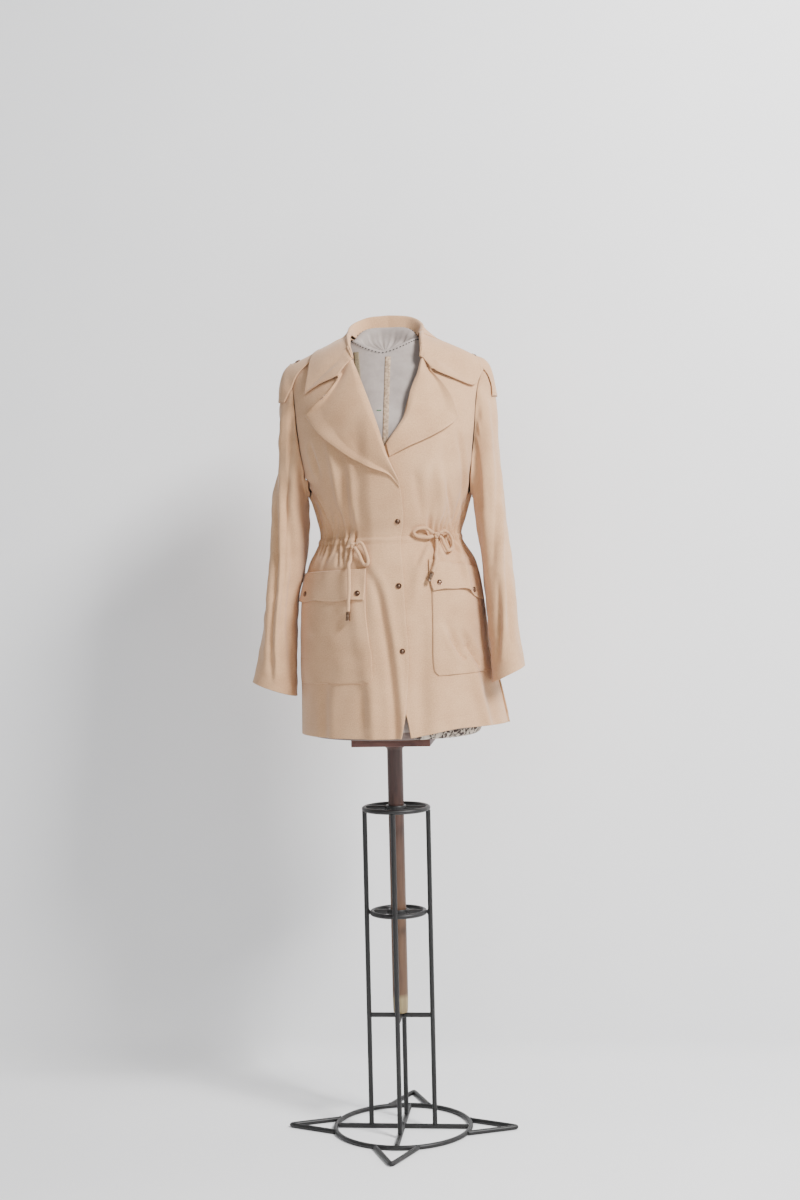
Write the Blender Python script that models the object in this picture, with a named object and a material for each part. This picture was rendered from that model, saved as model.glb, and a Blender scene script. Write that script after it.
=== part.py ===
"""A safari jacket worn by a limbless dress form, on a wooden pole in a stand of iron rod.

Metres, +Z up, the front of the jacket faces -Y and the floor is Z = 0. Names follow the wearer,
so the right front lies at -X. The form, board, pole and jacket turn together about the Z axis.
"""
import math

import bmesh
import bpy
from mathutils import Vector
from mathutils.bvhtree import BVHTree

# Cloth
CLOTH = 0.0018            # wall of the main twill panels
DOUBLE = 0.0022           # wall of lapels, collar, flaps and shoulder straps
SEAM = 0.0004             # gap left at a seam or between layers
OVERLAP = 0.0058          # how far the right front stands out where it laps over the left one
SLEEVE_LAP = 0.0016       # how far a sleeve's seam stands out from the armhole's edge
SIDE_SEAM = 78.0          # degrees from the front centre to the side seam
UNDERARM = 1.245
WAIST = 1.164
DOME = 1.300              # height where the body starts to round over to the shoulders
NECK_HALF = 0.066         # half width of the neckline at the shoulder seam
NECK_Z = 1.548
SHOULDER_FALL = 0.42      # drop of the shoulder for each metre outwards

# Dress form, board and pole
FORM_SIDE_GAP = 0.010
FORM_DEPTH_GAP = 0.0075
FORM_NECK_GAP = 0.0230
FORM_TOP_GAP = 0.0036
FORM_BOTTOM = 0.7763
BOARD = (0.152, 0.150, 0.0175)
POLE_R = 0.0152
POLE_FOOT = 0.2292

# Iron stand
ROD = 0.0047              # rod radius
LEG_R = 0.0625            # legs stand on this radius
RING_TOP_Z = 0.631
RING_MID_Z = 0.427
BRACE_Z = 0.224
BASE_RING_R = 0.1325
BASE_SEGMENTS = 32
FOOT_TIP_R = 0.2215
FOOT_SPREAD = 17.0        # degrees between a foot's arm and its middle line, at the ring

# Half widths and depths of the jacket's outer surface by height
BODY = (
    ("z", "right", "left", "front", "back"),
    (0.780, 0.181, 0.226, 0.150, 0.152),
    (0.870, 0.181, 0.208, 0.149, 0.148),
    (0.950, 0.180, 0.191, 0.147, 0.142),
    (1.040, 0.176, 0.181, 0.142, 0.132),
    (1.110, 0.160, 0.167, 0.130, 0.116),
    (1.164, 0.136, 0.140, 0.112, 0.098),
    (1.200, 0.143, 0.150, 0.122, 0.102),
    (1.245, 0.156, 0.163, 0.134, 0.110),
    (1.300, 0.174, 0.178, 0.141, 0.116),
    (1.380, 0.190, 0.192, 0.139, 0.118),
    (1.450, 0.200, 0.201, 0.136, 0.114),
    (1.570, 0.206, 0.206, 0.132, 0.110),
)
# Front edge and roll line of each front, by height
EDGES = (
    ("z", "over", "under"),
    (0.780, 0.029, 0.047),
    (0.820, 0.037, 0.040),
    (0.870, 0.042, 0.014),
    (0.930, 0.045, -0.010),
    (1.005, 0.041, -0.015),
    (1.090, 0.037, -0.015),
    (1.150, 0.032, -0.015),
    (1.200, 0.038, -0.015),
    (1.257, 0.035, -0.015),
    (1.305, 0.015, -0.004),
    (1.347, 0.003, 0.020),
    (1.381, -0.008, 0.043),
    (1.422, -0.023, 0.054),
    (1.467, -0.041, 0.069),
    (1.500, -0.055, 0.074),
    (1.532, -0.063, 0.070),
    (1.552, -0.066, 0.066),
)
# Degrees from the front centre to the side seam and armhole, for front and back pieces
ARMHOLE = (
    ("z", "front", "back"),
    (0.700, 78.0, 78.0),
    (1.240, 78.0, 78.0),
    (1.252, 75.0, 88.0),
    (1.270, 71.0, 99.0),
    (1.320, 66.0, 109.0),
    (1.380, 64.0, 114.0),
    (1.430, 62.5, 116.0),
    (1.500, 68.0, 112.0),
    (1.570, 68.0, 112.0),
)
# Gathers that the drawcord makes at the waist: degrees from the front centre, and how many
GATHERS = (
    ("start", "end", "count", "rise"),
    (-74.0, -25.0, 7, 0.0036),
    (42.0, 76.0, 5, 0.0036),
    (106.0, 168.0, 5, 0.0032),
    (192.0, 254.0, 5, 0.0032),
)
# Long soft folds: face is -1 for the front and 1 for the back
FOLDS = (
    ("face", "x_top", "z_top", "x_low", "z_low", "width", "rise"),
    (-1, -0.105, 1.345, -0.080, 1.170, 0.012, 0.0045),
    (-1, -0.056, 1.300, -0.052, 1.172, 0.010, 0.0040),
    (-1, -0.128, 1.290, -0.108, 1.175, 0.010, -0.0030),
    (-1, -0.028, 1.110, 0.018, 0.790, 0.013, -0.0045),
    (-1, -0.060, 1.110, -0.022, 0.790, 0.016, 0.0035),
    (-1, 0.082, 1.150, 0.052, 1.020, 0.012, 0.0040),
    (-1, 0.132, 1.165, 0.155, 1.000, 0.011, 0.0045),
    (-1, 0.105, 1.320, 0.112, 1.172, 0.012, 0.0040),
    (-1, 0.062, 1.290, 0.078, 1.172, 0.011, -0.0030),
    (-1, 0.150, 0.960, 0.190, 0.785, 0.016, 0.0060),
    (-1, 0.075, 1.020, 0.068, 0.790, 0.018, -0.0040),
    (1, -0.110, 1.130, -0.125, 0.790, 0.018, 0.0055),
    (1, -0.045, 1.140, -0.055, 0.800, 0.018, -0.0045),
    (1, 0.020, 1.130, 0.010, 0.790, 0.017, 0.0050),
    (1, 0.085, 1.140, 0.105, 0.785, 0.019, -0.0045),
    (1, 0.140, 1.110, 0.165, 0.790, 0.015, 0.0055),
    (1, -0.085, 1.350, -0.070, 1.175, 0.014, 0.0040),
    (1, 0.000, 1.330, 0.008, 1.180, 0.015, -0.0035),
    (1, 0.080, 1.340, 0.070, 1.175, 0.014, 0.0040),
)
# Sleeves: outer and inner edges seen from the front, then middle and half depth along Y
SLEEVE_COLUMNS = ("step", "out_x", "out_z", "in_x", "in_z", "mid_y", "half_y")
SLEEVES = {
    "sleeve_right": (
        SLEEVE_COLUMNS,
        (0.0, 0.2130, 1.290, 0.1590, 1.222, 0.002, 0.066),
        (1.0, 0.2245, 1.219, 0.1600, 1.178, -0.002, 0.067),
        (2.0, 0.2300, 1.121, 0.1690, 1.108, -0.006, 0.064),
        (3.0, 0.2410, 1.046, 0.1840, 1.033, -0.011, 0.060),
        (4.0, 0.2530, 0.962, 0.1875, 0.945, -0.016, 0.053),
        (5.0, 0.2710, 0.884, 0.1885, 0.855, -0.020, 0.043),
    ),
    "sleeve_left": (
        SLEEVE_COLUMNS,
        (0.0, 0.2170, 1.290, 0.1670, 1.225, 0.002, 0.066),
        (1.0, 0.2240, 1.215, 0.1700, 1.182, -0.004, 0.066),
        (2.0, 0.2340, 1.110, 0.1820, 1.100, -0.013, 0.063),
        (3.0, 0.2410, 1.041, 0.1890, 1.030, -0.024, 0.059),
        (4.0, 0.2490, 0.965, 0.1950, 0.950, -0.042, 0.050),
        (5.0, 0.2590, 0.909, 0.1980, 0.878, -0.060, 0.041),
    ),
}
# Lengthwise sleeve folds: degrees round the sleeve (0 outside, -90 front), start and end step
SLEEVE_FOLDS = (
    ("turn", "start", "end", "width", "rise"),
    (-62.0, 1.4, 5.2, 15.0, 0.0040),
    (-112.0, 1.0, 4.6, 14.0, 0.0035),
    (-88.0, 0.4, 4.0, 12.0, -0.0038),
    (60.0, 0.8, 4.4, 18.0, -0.0040),
    (110.0, 1.4, 5.0, 16.0, 0.0035),
)
# Lapels: where the roll line and the outer edge run, from the break up to the gorge
LAPELS = {
    "lapel_right": (
        ("step", "roll_x", "roll_z", "edge_x", "edge_z"),
        (0, 0.0345, 1.260, 0.0335, 1.2535),
        (1, 0.0240, 1.286, 0.0140, 1.277),
        (2, 0.0110, 1.318, -0.0210, 1.291),
        (3, 0.0030, 1.347, -0.0570, 1.310),
        (4, -0.0050, 1.372, -0.0840, 1.330),
        (5, -0.0140, 1.398, -0.1120, 1.353),
        (6, -0.0225, 1.421, -0.1330, 1.376),
        (7, -0.0300, 1.440, -0.1450, 1.394),
        (8, -0.0385, 1.461, -0.1220, 1.412),
        (9, -0.0465, 1.480, -0.1000, 1.431),
        (10, -0.0540, 1.4960, -0.0790, 1.4600),
    ),
    "lapel_left": (
        ("step", "roll_x", "roll_z", "edge_x", "edge_z"),
        (0, 0.0115, 1.333, 0.0165, 1.309),
        (1, 0.0170, 1.343, 0.0330, 1.317),
        (2, 0.0240, 1.353, 0.0560, 1.329),
        (3, 0.0330, 1.365, 0.0790, 1.339),
        (4, 0.0430, 1.381, 0.1000, 1.350),
        (5, 0.0495, 1.398, 0.1200, 1.363),
        (6, 0.0530, 1.416, 0.1340, 1.374),
        (7, 0.0565, 1.433, 0.1420, 1.384),
        (8, 0.0620, 1.450, 0.1320, 1.415),
        (9, 0.0685, 1.467, 0.1140, 1.446),
        (10, 0.0735, 1.4920, 0.0920, 1.4700),
    ),
}
# Collar from the back centre (0) to the gorge (1): seam, fold and outer edge on each side
COLLAR = (
    ("step", "seam_x", "seam_y", "seam_z", "fold_x", "fold_y", "fold_z",
     "right_x", "right_z", "left_x", "left_z", "edge_face"),
    (0.00, 0.0000, 0.0525, 1.5385, 0.0000, 0.0660, 1.593, 0.0000, 1.517, 0.000, 1.517, 1),
    (0.20, 0.0350, 0.0450, 1.5425, 0.0360, 0.0600, 1.590, 0.0420, 1.516, 0.043, 1.515, 1),
    (0.38, 0.0570, 0.0250, 1.5485, 0.0600, 0.0400, 1.580, 0.0830, 1.514, 0.088, 1.511, 1),
    (0.52, 0.0650, 0.0020, 1.5515, 0.0690, 0.0150, 1.567, 0.1120, 1.515, 0.128, 1.507, 1),
    (0.62, 0.0645, -0.0190, 1.5470, 0.0700, -0.0080, 1.551, 0.1330, 1.516, 0.160, 1.504, -1),
    (0.72, 0.0625, -0.0370, 1.5360, 0.0695, -0.0280, 1.536, 0.1405, 1.496, 0.182, 1.492, -1),
    (0.80, 0.0610, -0.0510, 1.5240, 0.0685, -0.0440, 1.523, 0.1430, 1.468, 0.186, 1.474, -1),
    (0.88, 0.0590, -0.0660, 1.5110, 0.0665, -0.0590, 1.511, 0.1470, 1.434, 0.167, 1.444, -1),
    (0.94, 0.0570, -0.0750, 1.5035, 0.0640, -0.0700, 1.504, 0.1150, 1.452, 0.134, 1.456, -1),
    (1.00, 0.0550, -0.0830, 1.4970, 0.0600, -0.0800, 1.497, 0.0790, 1.4635, 0.092, 1.4735, -1),
)
# Pockets and flaps: corners in x and z, the outer side stops short of the side seam
POCKETS = {
    "pocket_right": (("step", "inner_x", "z", "outer_z"), (0, -0.033, 1.078, 1.078), (1, -0.033, 1.030, 1.030),
                     (2, -0.029, 0.984, 0.984), (3, -0.022, 0.930, 0.928), (4, -0.021, 0.899, 0.896),
                     (5, -0.028, 0.886, 0.882)),
    "pocket_left": (("step", "inner_x", "z", "outer_z"), (0, 0.090, 1.078, 1.070), (1, 0.090, 1.035, 1.030),
                    (2, 0.090, 0.990, 0.988), (3, 0.089, 0.940, 0.942), (4, 0.091, 0.908, 0.912),
                    (5, 0.099, 0.897, 0.901)),
}
FLAPS = {
    "flap_right": (("step", "inner_x", "z", "outer_z"), (0, -0.032, 1.100, 1.093), (1, -0.0325, 1.080, 1.074),
                   (2, -0.034, 1.060, 1.055), (3, -0.036, 1.042, 1.038)),
    "flap_left": (("step", "inner_x", "z", "outer_z"), (0, 0.083, 1.115, 1.098), (1, 0.084, 1.095, 1.078),
                  (2, 0.086, 1.075, 1.058), (3, 0.091, 1.056, 1.039)),
}
# Shoulder straps: laid down towards this point, from the neck's side to the top of the sleeve
STRAP_AIM = (0.125, -0.012, 1.415)
STRAP_TURNS = (4.0, 82.0)
STRAP_HALF = 0.026
STRAP_SNAP_TURN = 27.0
# Snap places: x and z seen from the front
SNAPS = (
    ("x", "z", "host"),
    (0.0285, 1.188, "front_right"),
    (0.0295, 1.067, "front_right"),
    (0.0345, 0.945, "front_right"),
    (-0.0490, 1.055, "flap_right"),
    (-0.1600, 1.054, "flap_right"),
    (0.1045, 1.072, "flap_left"),
    (0.1650, 1.056, "flap_left"),
)
SNAP_R = 0.0054
# Drawcord routes: x, z, and how far the cord's middle stands off the cloth
CORD_R = 0.0030
CORD_GAP = 0.0015
CORDS = {
    "drawcord_end_right": ((-0.0605, 1.1360, 0.0040), (-0.0612, 1.128, 0.0040), (-0.0630, 1.115, 0.0038),
                           (-0.0635, 1.098, 0.0038), (-0.0630, 1.080, 0.0038), (-0.0630, 1.063, 0.0038),
                           (-0.0640, 1.048, 0.0038), (-0.0655, 1.0320, 0.0040), (-0.0668, 1.0215, 0.0042)),
    "drawcord_loop_right": ((-0.0505, 1.1470, 0.0090), (-0.0455, 1.1500, 0.0095), (-0.0400, 1.1475, 0.0082),
                            (-0.0355, 1.1390, 0.0064), (-0.0310, 1.1280, 0.0052), (-0.0275, 1.1170, 0.0050),
                            (-0.0285, 1.1090, 0.0050), (-0.0350, 1.1085, 0.0050), (-0.0405, 1.1160, 0.0056),
                            (-0.0440, 1.1240, 0.0068), (-0.0475, 1.1310, 0.0090), (-0.0515, 1.1370, 0.0110)),
    "drawcord_loop_left_a": ((0.0900, 1.1660, 0.0080), (0.0840, 1.1720, 0.0072), (0.0750, 1.1750, 0.0056),
                             (0.0640, 1.1735, 0.0050), (0.0570, 1.1670, 0.0050), (0.0620, 1.1600, 0.0050),
                             (0.0720, 1.1575, 0.0056), (0.0820, 1.1570, 0.0072), (0.0895, 1.1585, 0.0080)),
    "drawcord_loop_left_b": ((0.1060, 1.1665, 0.0085), (0.1130, 1.1690, 0.0080), (0.1210, 1.1620, 0.0060),
                             (0.1265, 1.1490, 0.0052), (0.1260, 1.1360, 0.0050), (0.1195, 1.1310, 0.0050),
                             (0.1140, 1.1390, 0.0056), (0.1090, 1.1500, 0.0076), (0.1055, 1.1570, 0.0090)),
    "drawcord_end_left": ((0.0980, 1.1525, 0.0045), (0.0985, 1.1430, 0.0042), (0.0980, 1.1310, 0.0040),
                          (0.0975, 1.1220, 0.0062), (0.0985, 1.1120, 0.0070), (0.0960, 1.1010, 0.0070),
                          (0.0925, 1.0915, 0.0074)),
}
KNOT_OFF = 0.0068
KNOTS = {"drawcord_knot_right": (-0.0580, 1.1450), "drawcord_knot_left": (0.0980, 1.1615)}
TIPS = {"cord_tip_right": ((-0.0669, 1.0210), (-0.0678, 1.0030), 0.0042),
        "cord_tip_left": ((0.0922, 1.0910), (0.0835, 1.0720), 0.0074)}


def look(table, name, at):
    """Read one named column of a table at a height or step, along a smooth curve."""
    column = table[0].index(name)
    rows = table[1:]
    keys = [row[0] for row in rows]
    values = [row[column] for row in rows]
    if at <= keys[0]:
        return values[0]
    if at >= keys[-1]:
        return values[-1]
    i = max(k for k in range(len(keys) - 1) if keys[k] <= at)

    def rate(k):
        return (values[k + 1] - values[k]) / (keys[k + 1] - keys[k])

    def slope(k):
        before = rate(max(k - 1, 0))
        after = rate(min(k, len(keys) - 2))
        return 0.0 if before * after <= 0.0 else 2.0 * before * after / (before + after)

    span = keys[i + 1] - keys[i]
    t = (at - keys[i]) / span
    return ((2 * t**3 - 3 * t**2 + 1) * values[i] + (t**3 - 2 * t**2 + t) * span * slope(i)
            + (3 * t**2 - 2 * t**3) * values[i + 1] + (t**3 - t**2) * span * slope(i + 1))


def named(table):
    """The rows of a table as dictionaries with its column names."""
    return [dict(zip(table[0], row)) for row in table[1:]]


def ease(low, high, value):
    t = min(max((value - low) / (high - low), 0.0), 1.0)
    return t * t * (3.0 - 2.0 * t)


def lerp(a, b, t):
    return a + (b - a) * t


def half_width(x, z, inset=0.0):
    return look(BODY, "left" if x > 0.0 else "right", z) - inset


def ridge(x, inset=0.0):
    """Height of the shoulder line at this distance from the middle."""
    out = abs(x) - NECK_HALF
    if out < 0.0:
        return NECK_Z + 0.012 * (1.0 - (x / NECK_HALF) ** 2) - inset
    return NECK_Z - SHOULDER_FALL * out - inset


def fullness(x, z, face, inset=0.0, depth_inset=0.0):
    """Depth that the body would have here if it didn't round over to the shoulders."""
    share = min(abs(x / half_width(x, z, inset)), 0.99999)
    depth = look(BODY, "front" if face < 0 else "back", z) - depth_inset
    return depth * (1.0 - share ** 2.2) ** 0.6


def depth(x, z, face, inset=0.0, depth_inset=0.0, top_inset=0.0):
    """Distance of the body's surface from the plane Y = 0."""
    rise = max(0.0, (z - DOME) / (ridge(x, top_inset) - DOME))
    return fullness(x, z, face, inset, depth_inset) * math.sqrt(max(0.0, 1.0 - rise ** 2.2))


def outward(point, face):
    """Unit normal of the body's surface, from the slope of the shape's own formula."""
    def level(x, y, z):
        rise = max(0.0, (z - DOME) / (ridge(x) - DOME))
        return (abs(y) / fullness(x, z, face)) ** 2 + rise ** 2.2

    step = 2e-5
    x, y, z = point
    here = level(x, y, z)
    slope = Vector(((level(x + step, y, z) - here), (level(x, y + face * step, z) - here) * face,
                    (level(x, y, z + step) - here)))
    return slope.normalized()


def swell(x, z, face):
    """Folds and gathers: how far the cloth stands out from the plain body here."""
    out = 0.0
    for fold in named(FOLDS):
        if fold["face"] != face or not fold["z_low"] < z < fold["z_top"]:
            continue
        along = (fold["z_top"] - z) / (fold["z_top"] - fold["z_low"])
        aside = (x - lerp(fold["x_top"], fold["x_low"], along)) / fold["width"]
        end = 1.0 if fold["z_low"] < 0.83 and along > 0.5 else math.sin(math.pi * along) ** 0.6
        out += fold["rise"] * math.exp(-aside * aside) * end
    turn = math.degrees(math.asin(max(-1.0, min(1.0, x / half_width(x, z)))))
    if face > 0:
        turn = 180.0 - turn
    near = math.exp(-((z - WAIST) / 0.026) ** 2)
    for row in named(GATHERS):
        if row["start"] < turn < row["end"]:
            t = (turn - row["start"]) / (row["end"] - row["start"])
            edge = ease(0.0, 0.08, t) * ease(1.0, 0.92, t)
            out -= row["rise"] * near * edge * math.cos(2.0 * math.pi * row["count"] * t)
    return out


def skin(x, z, face, lift=0.0, folded=True):
    """A point on the jacket's outer surface, raised along the normal."""
    y = face * max(depth(x, z, face), 0.0006)
    point = Vector((x, y, z))
    return point + outward(point, face) * (lift + (swell(x, z, face) if folded else 0.0))


def overlap_lift(x, z):
    """The right front stands out where it laps over the left one."""
    return OVERLAP * ease(-0.046, -0.018, x) * ease(1.42, 1.34, z)


def hem(x):
    """The hem is level on the right and rises a little on the left."""
    return 0.781 + 0.016 * ease(0.03, 0.15, x)


LOW_ROWS = (0.780, 0.820, 0.870, 0.920, 0.970, 1.015, 1.055, 1.090, 1.118, 1.138, 1.151, 1.164, 1.177,
            1.191, 1.212, 1.243)
HIGH_ROWS = (0.14, 0.36, 0.60, 0.79, 0.92, 0.99, 1.0)


def panel_point(piece, q, row, lift):
    """A point of a body piece: q runs across from its front edge, row up from the hem."""
    def turn_at(z):
        if piece == "back":
            end = look(ARMHOLE, "back", z)
            seam = 0.1 if z < UNDERARM else 0.0
            return lerp(-360.0 + end + seam, -end - seam, q)
        side = -1.0 if piece == "front_right" else 1.0
        edge = look(EDGES, "over" if piece == "front_right" else "under", z)
        start = math.degrees(math.asin(edge / half_width(edge, z)))
        return lerp(start, side * (look(ARMHOLE, "front", z) - 0.1), q)

    def place(z):
        turn = math.radians(turn_at(z))
        x = math.sin(turn)
        return x * half_width(x, z), (-1 if math.cos(turn) > 0.0 else 1)

    if row < len(LOW_ROWS):
        z = LOW_ROWS[int(row)]
        if row != int(row):
            z = lerp(z, LOW_ROWS[int(row) + 1], row - int(row))
        x, face = place(z)
        z += (hem(x) - 0.780) * ease(1.0, 0.78, z)
    else:
        share = HIGH_ROWS[row - len(LOW_ROWS)]
        top = NECK_Z
        for _ in range(12):
            x, face = place(top)
            top = ridge(x)
            if piece == "back" and abs(x) < NECK_HALF:
                top = 1.535 + 0.013 * (x / NECK_HALF) ** 2
        z = LOW_ROWS[-1] + (top - LOW_ROWS[-1]) * share
        if share == 1.0:
            z = top
        x, face = place(z)
    if piece == "front_right":
        lift += overlap_lift(x, z)
    return skin(x, z, face, lift)


def material(name, colour, roughness, metallic=0.0):
    made = bpy.data.materials.get(name)
    if made is None:
        made = bpy.data.materials.new(name)
        made.use_nodes = True
        shader = made.node_tree.nodes["Principled BSDF"]
        shader.inputs["Base Color"].default_value = (*colour, 1.0)
        shader.inputs["Roughness"].default_value = roughness
        shader.inputs["Metallic"].default_value = metallic
    return made


def cloth_material():
    return material("cotton twill", (0.55, 0.38, 0.27), 0.9)


def iron_material():
    return material("blackened iron", (0.012, 0.011, 0.011), 0.45, 1.0)


def brass_material():
    return material("antique brass", (0.16, 0.09, 0.055), 0.4, 1.0)


def add_object(name, points, faces, look_of, smooth=True):
    """Make one closed mesh object whose faces point outwards."""
    mesh = bpy.data.meshes.new(name)
    mesh.from_pydata([tuple(p) for p in points], [], faces)
    work = bmesh.new()
    work.from_mesh(mesh)
    bmesh.ops.recalc_face_normals(work, faces=work.faces)
    if work.calc_volume(signed=True) < 0.0:
        bmesh.ops.reverse_faces(work, faces=work.faces)
    work.to_mesh(mesh)
    work.free()
    made = bpy.data.objects.new(name, mesh)
    bpy.context.scene.collection.objects.link(made)
    mesh.materials.append(look_of)
    if smooth:
        mesh.shade_smooth()
        mesh.set_sharp_from_angle(angle=math.radians(50))
    return made


OUTSIDES = {}


def shell(name, inner, outer, look_of, wrap=False):
    """A cloth wall between two grids of points, closed all round its rim."""
    rows, columns = len(inner), len(inner[0])
    OUTSIDES[name] = outside_faces(outer, wrap)
    count = rows * columns
    points = [p for row in inner for p in row] + [p for row in outer for p in row]
    faces = []

    def at(i, j, layer):
        return layer * count + i * columns + j % columns

    last = columns if wrap else columns - 1
    for i in range(rows - 1):
        for j in range(last):
            quad = (at(i, j, 1), at(i, j + 1, 1), at(i + 1, j + 1, 1), at(i + 1, j, 1))
            faces.append(quad)
            faces.append(tuple(k - count for k in reversed(quad)))
    for j in range(last):
        faces.append((at(0, j, 0), at(0, j + 1, 0), at(0, j + 1, 1), at(0, j, 1)))
        faces.append((at(rows - 1, j, 1), at(rows - 1, j + 1, 1), at(rows - 1, j + 1, 0), at(rows - 1, j, 0)))
    if not wrap:
        for i in range(rows - 1):
            faces.append((at(i, 0, 1), at(i + 1, 0, 1), at(i + 1, 0, 0), at(i, 0, 0)))
            faces.append((at(i, last, 0), at(i + 1, last, 0), at(i + 1, last, 1), at(i, last, 1)))
    return add_object(name, points, faces, look_of)


def grid_normals(grid, wrap=False):
    """Normals of a grid of points, from its neighbours along and across."""
    rows, columns = len(grid), len(grid[0])
    made = []
    for i in range(rows):
        line = []
        for j in range(columns):
            up = grid[min(i + 1, rows - 1)][j] - grid[max(i - 1, 0)][j]
            if wrap:
                across = grid[i][(j + 1) % columns] - grid[i][(j - 1) % columns]
            else:
                across = grid[i][min(j + 1, columns - 1)] - grid[i][max(j - 1, 0)]
            line.append(across.cross(up).normalized())
        made.append(line)
    return made


def raised(grid, normals, lift):
    return [[p + n * lift for p, n in zip(row, line)] for row, line in zip(grid, normals)]


def outside_faces(grid, wrap):
    """Points and triangles of a piece's outer wall, which other pieces are laid on."""
    rows, columns = len(grid), len(grid[0])
    last = columns if wrap else columns - 1
    faces = []
    for i in range(rows - 1):
        for j in range(last):
            a, b = i * columns + j, i * columns + (j + 1) % columns
            faces += [(a, b, b + columns), (a, b + columns, a + columns)]
    return [p for line in grid for p in line], faces


def outside_of(*names):
    """A search tree over the outer walls of some pieces."""
    points, faces = [], []
    for name in names:
        more, triangles = OUTSIDES[name]
        faces += [[len(points) + k for k in face] for face in triangles]
        points += more
    return BVHTree.FromPolygons(points, faces)


def settle(grid, tree, margin):
    """Move a laid sheet's points out until each of its faces stands clear of what it lies on."""
    middle = Vector((0.0, 0.0, 1.40))
    for _ in range(12):
        moved = False
        for i in range(len(grid) - 1):
            for j in range(len(grid[0]) - 1):
                corners = ((i, j), (i + 1, j), (i + 1, j + 1), (i, j + 1))
                a, b, c, d = (grid[m][n] for m, n in corners)
                for probe in (a, b, c, d, (a + b) / 2, (b + c) / 2, (c + d) / 2, (d + a) / 2, (a + c) / 2,
                              (b + d) / 2):
                    near, normal, _, gap = tree.find_nearest(probe)
                    if normal.dot(near - middle) < 0.0:
                        normal = -normal
                    height = (probe - near).dot(normal)
                    if gap < 0.02 and height < margin:
                        for m, n in corners:
                            grid[m][n] = grid[m][n] + normal * (margin - height) * 0.6
                        moved = True
        if not moved:
            break
    return grid


def first_hit(tree, start, towards, lift):
    """Where a line meets a piece, then back along the line by lift."""
    towards = towards.normalized()
    hit = tree.ray_cast(start, towards)[0]
    return None if hit is None else hit - towards * lift


def front_panels():
    gathered_right = [0.418 + 0.0385 * k for k in range(15)]
    spread_right = [0.0, 0.07, 0.15, 0.23, 0.31, 0.37] + gathered_right + [1.0]
    gathered_left = [0.5736 + 0.0404 * k for k in range(11)]
    spread_left = [0.0, 0.10, 0.20, 0.30, 0.40, 0.49] + gathered_left + [1.0]
    gathered_back = [0.137 + 0.0304 * k for k in range(11)]
    spread_back = [0.0, 0.07] + gathered_back + [0.5] + [1.0 - t for t in reversed(gathered_back)] + [0.93, 1.0]
    rows = len(LOW_ROWS) + len(HIGH_ROWS)
    for name, spread in (("front_right", spread_right), ("front_left", spread_left), ("back", spread_back)):
        inner = [[panel_point(name, q, row, -CLOTH) for q in spread] for row in range(rows)]
        outer = [[panel_point(name, q, row, 0.0) for q in spread] for row in range(rows)]
        shell(name, inner, outer, cloth_material())


def armhole_loop(side, count):
    """Points of the armhole, from the shoulder down the front, under the arm and up the back."""
    rows = list(range(len(LOW_ROWS) - 1, len(LOW_ROWS) + len(HIGH_ROWS)))
    front = "front_right" if side < 0 else "front_left"
    q_back = 1.0 if side < 0 else 0.0
    laps = {row: SLEEVE_LAP * (1.0 + 1.4 * ease(2.0, 0.0, row - rows[0])) for row in rows}
    front_line = [panel_point(front, 1.0, row, laps[row]) for row in reversed(rows)]
    back_line = [panel_point("back", q_back, row, laps[row]) for row in rows]
    line = front_line + back_line[1:]
    lengths = [0.0]
    for a, b in zip(line, line[1:]):
        lengths.append(lengths[-1] + (b - a).length)
    loop = []
    for k in range(count):
        want = lengths[-1] * k / count
        i = max(n for n in range(len(lengths) - 1) if lengths[n] <= want)
        loop.append(line[i].lerp(line[i + 1], (want - lengths[i]) / (lengths[i + 1] - lengths[i])))
    return loop


def sleeve_ring(name, side, step, count):
    """One ring of a sleeve; it starts outside, then goes to the front, inside and back."""
    table = SLEEVES[name]
    out = Vector((look(table, "out_x", step), 0.0, look(table, "out_z", step)))
    inn = Vector((look(table, "in_x", step), 0.0, look(table, "in_z", step)))
    middle, half = (out + inn) / 2.0, (out - inn) / 2.0
    mid_y, half_y = look(table, "mid_y", step), look(table, "half_y", step)
    ring = []
    for k in range(count):
        turn = 2.0 * math.pi * k / count
        point = middle + half * math.cos(turn)
        point.y = mid_y - half_y * math.sin(turn)
        out_by = 0.0
        degrees = -math.degrees(turn) if turn <= math.pi else 360.0 - math.degrees(turn)
        for fold in named(SLEEVE_FOLDS):
            if fold["start"] < step < fold["end"]:
                t = (step - fold["start"]) / (fold["end"] - fold["start"])
                aside = (degrees - fold["turn"]) / fold["width"]
                out_by += fold["rise"] * math.exp(-aside * aside) * math.sin(math.pi * t) ** 0.6
        away = Vector((half.x * math.cos(turn), -half_y * math.sin(turn), 0.0)).normalized()
        point += away * out_by
        point.x *= side
        ring.append(point)
    return ring


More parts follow.
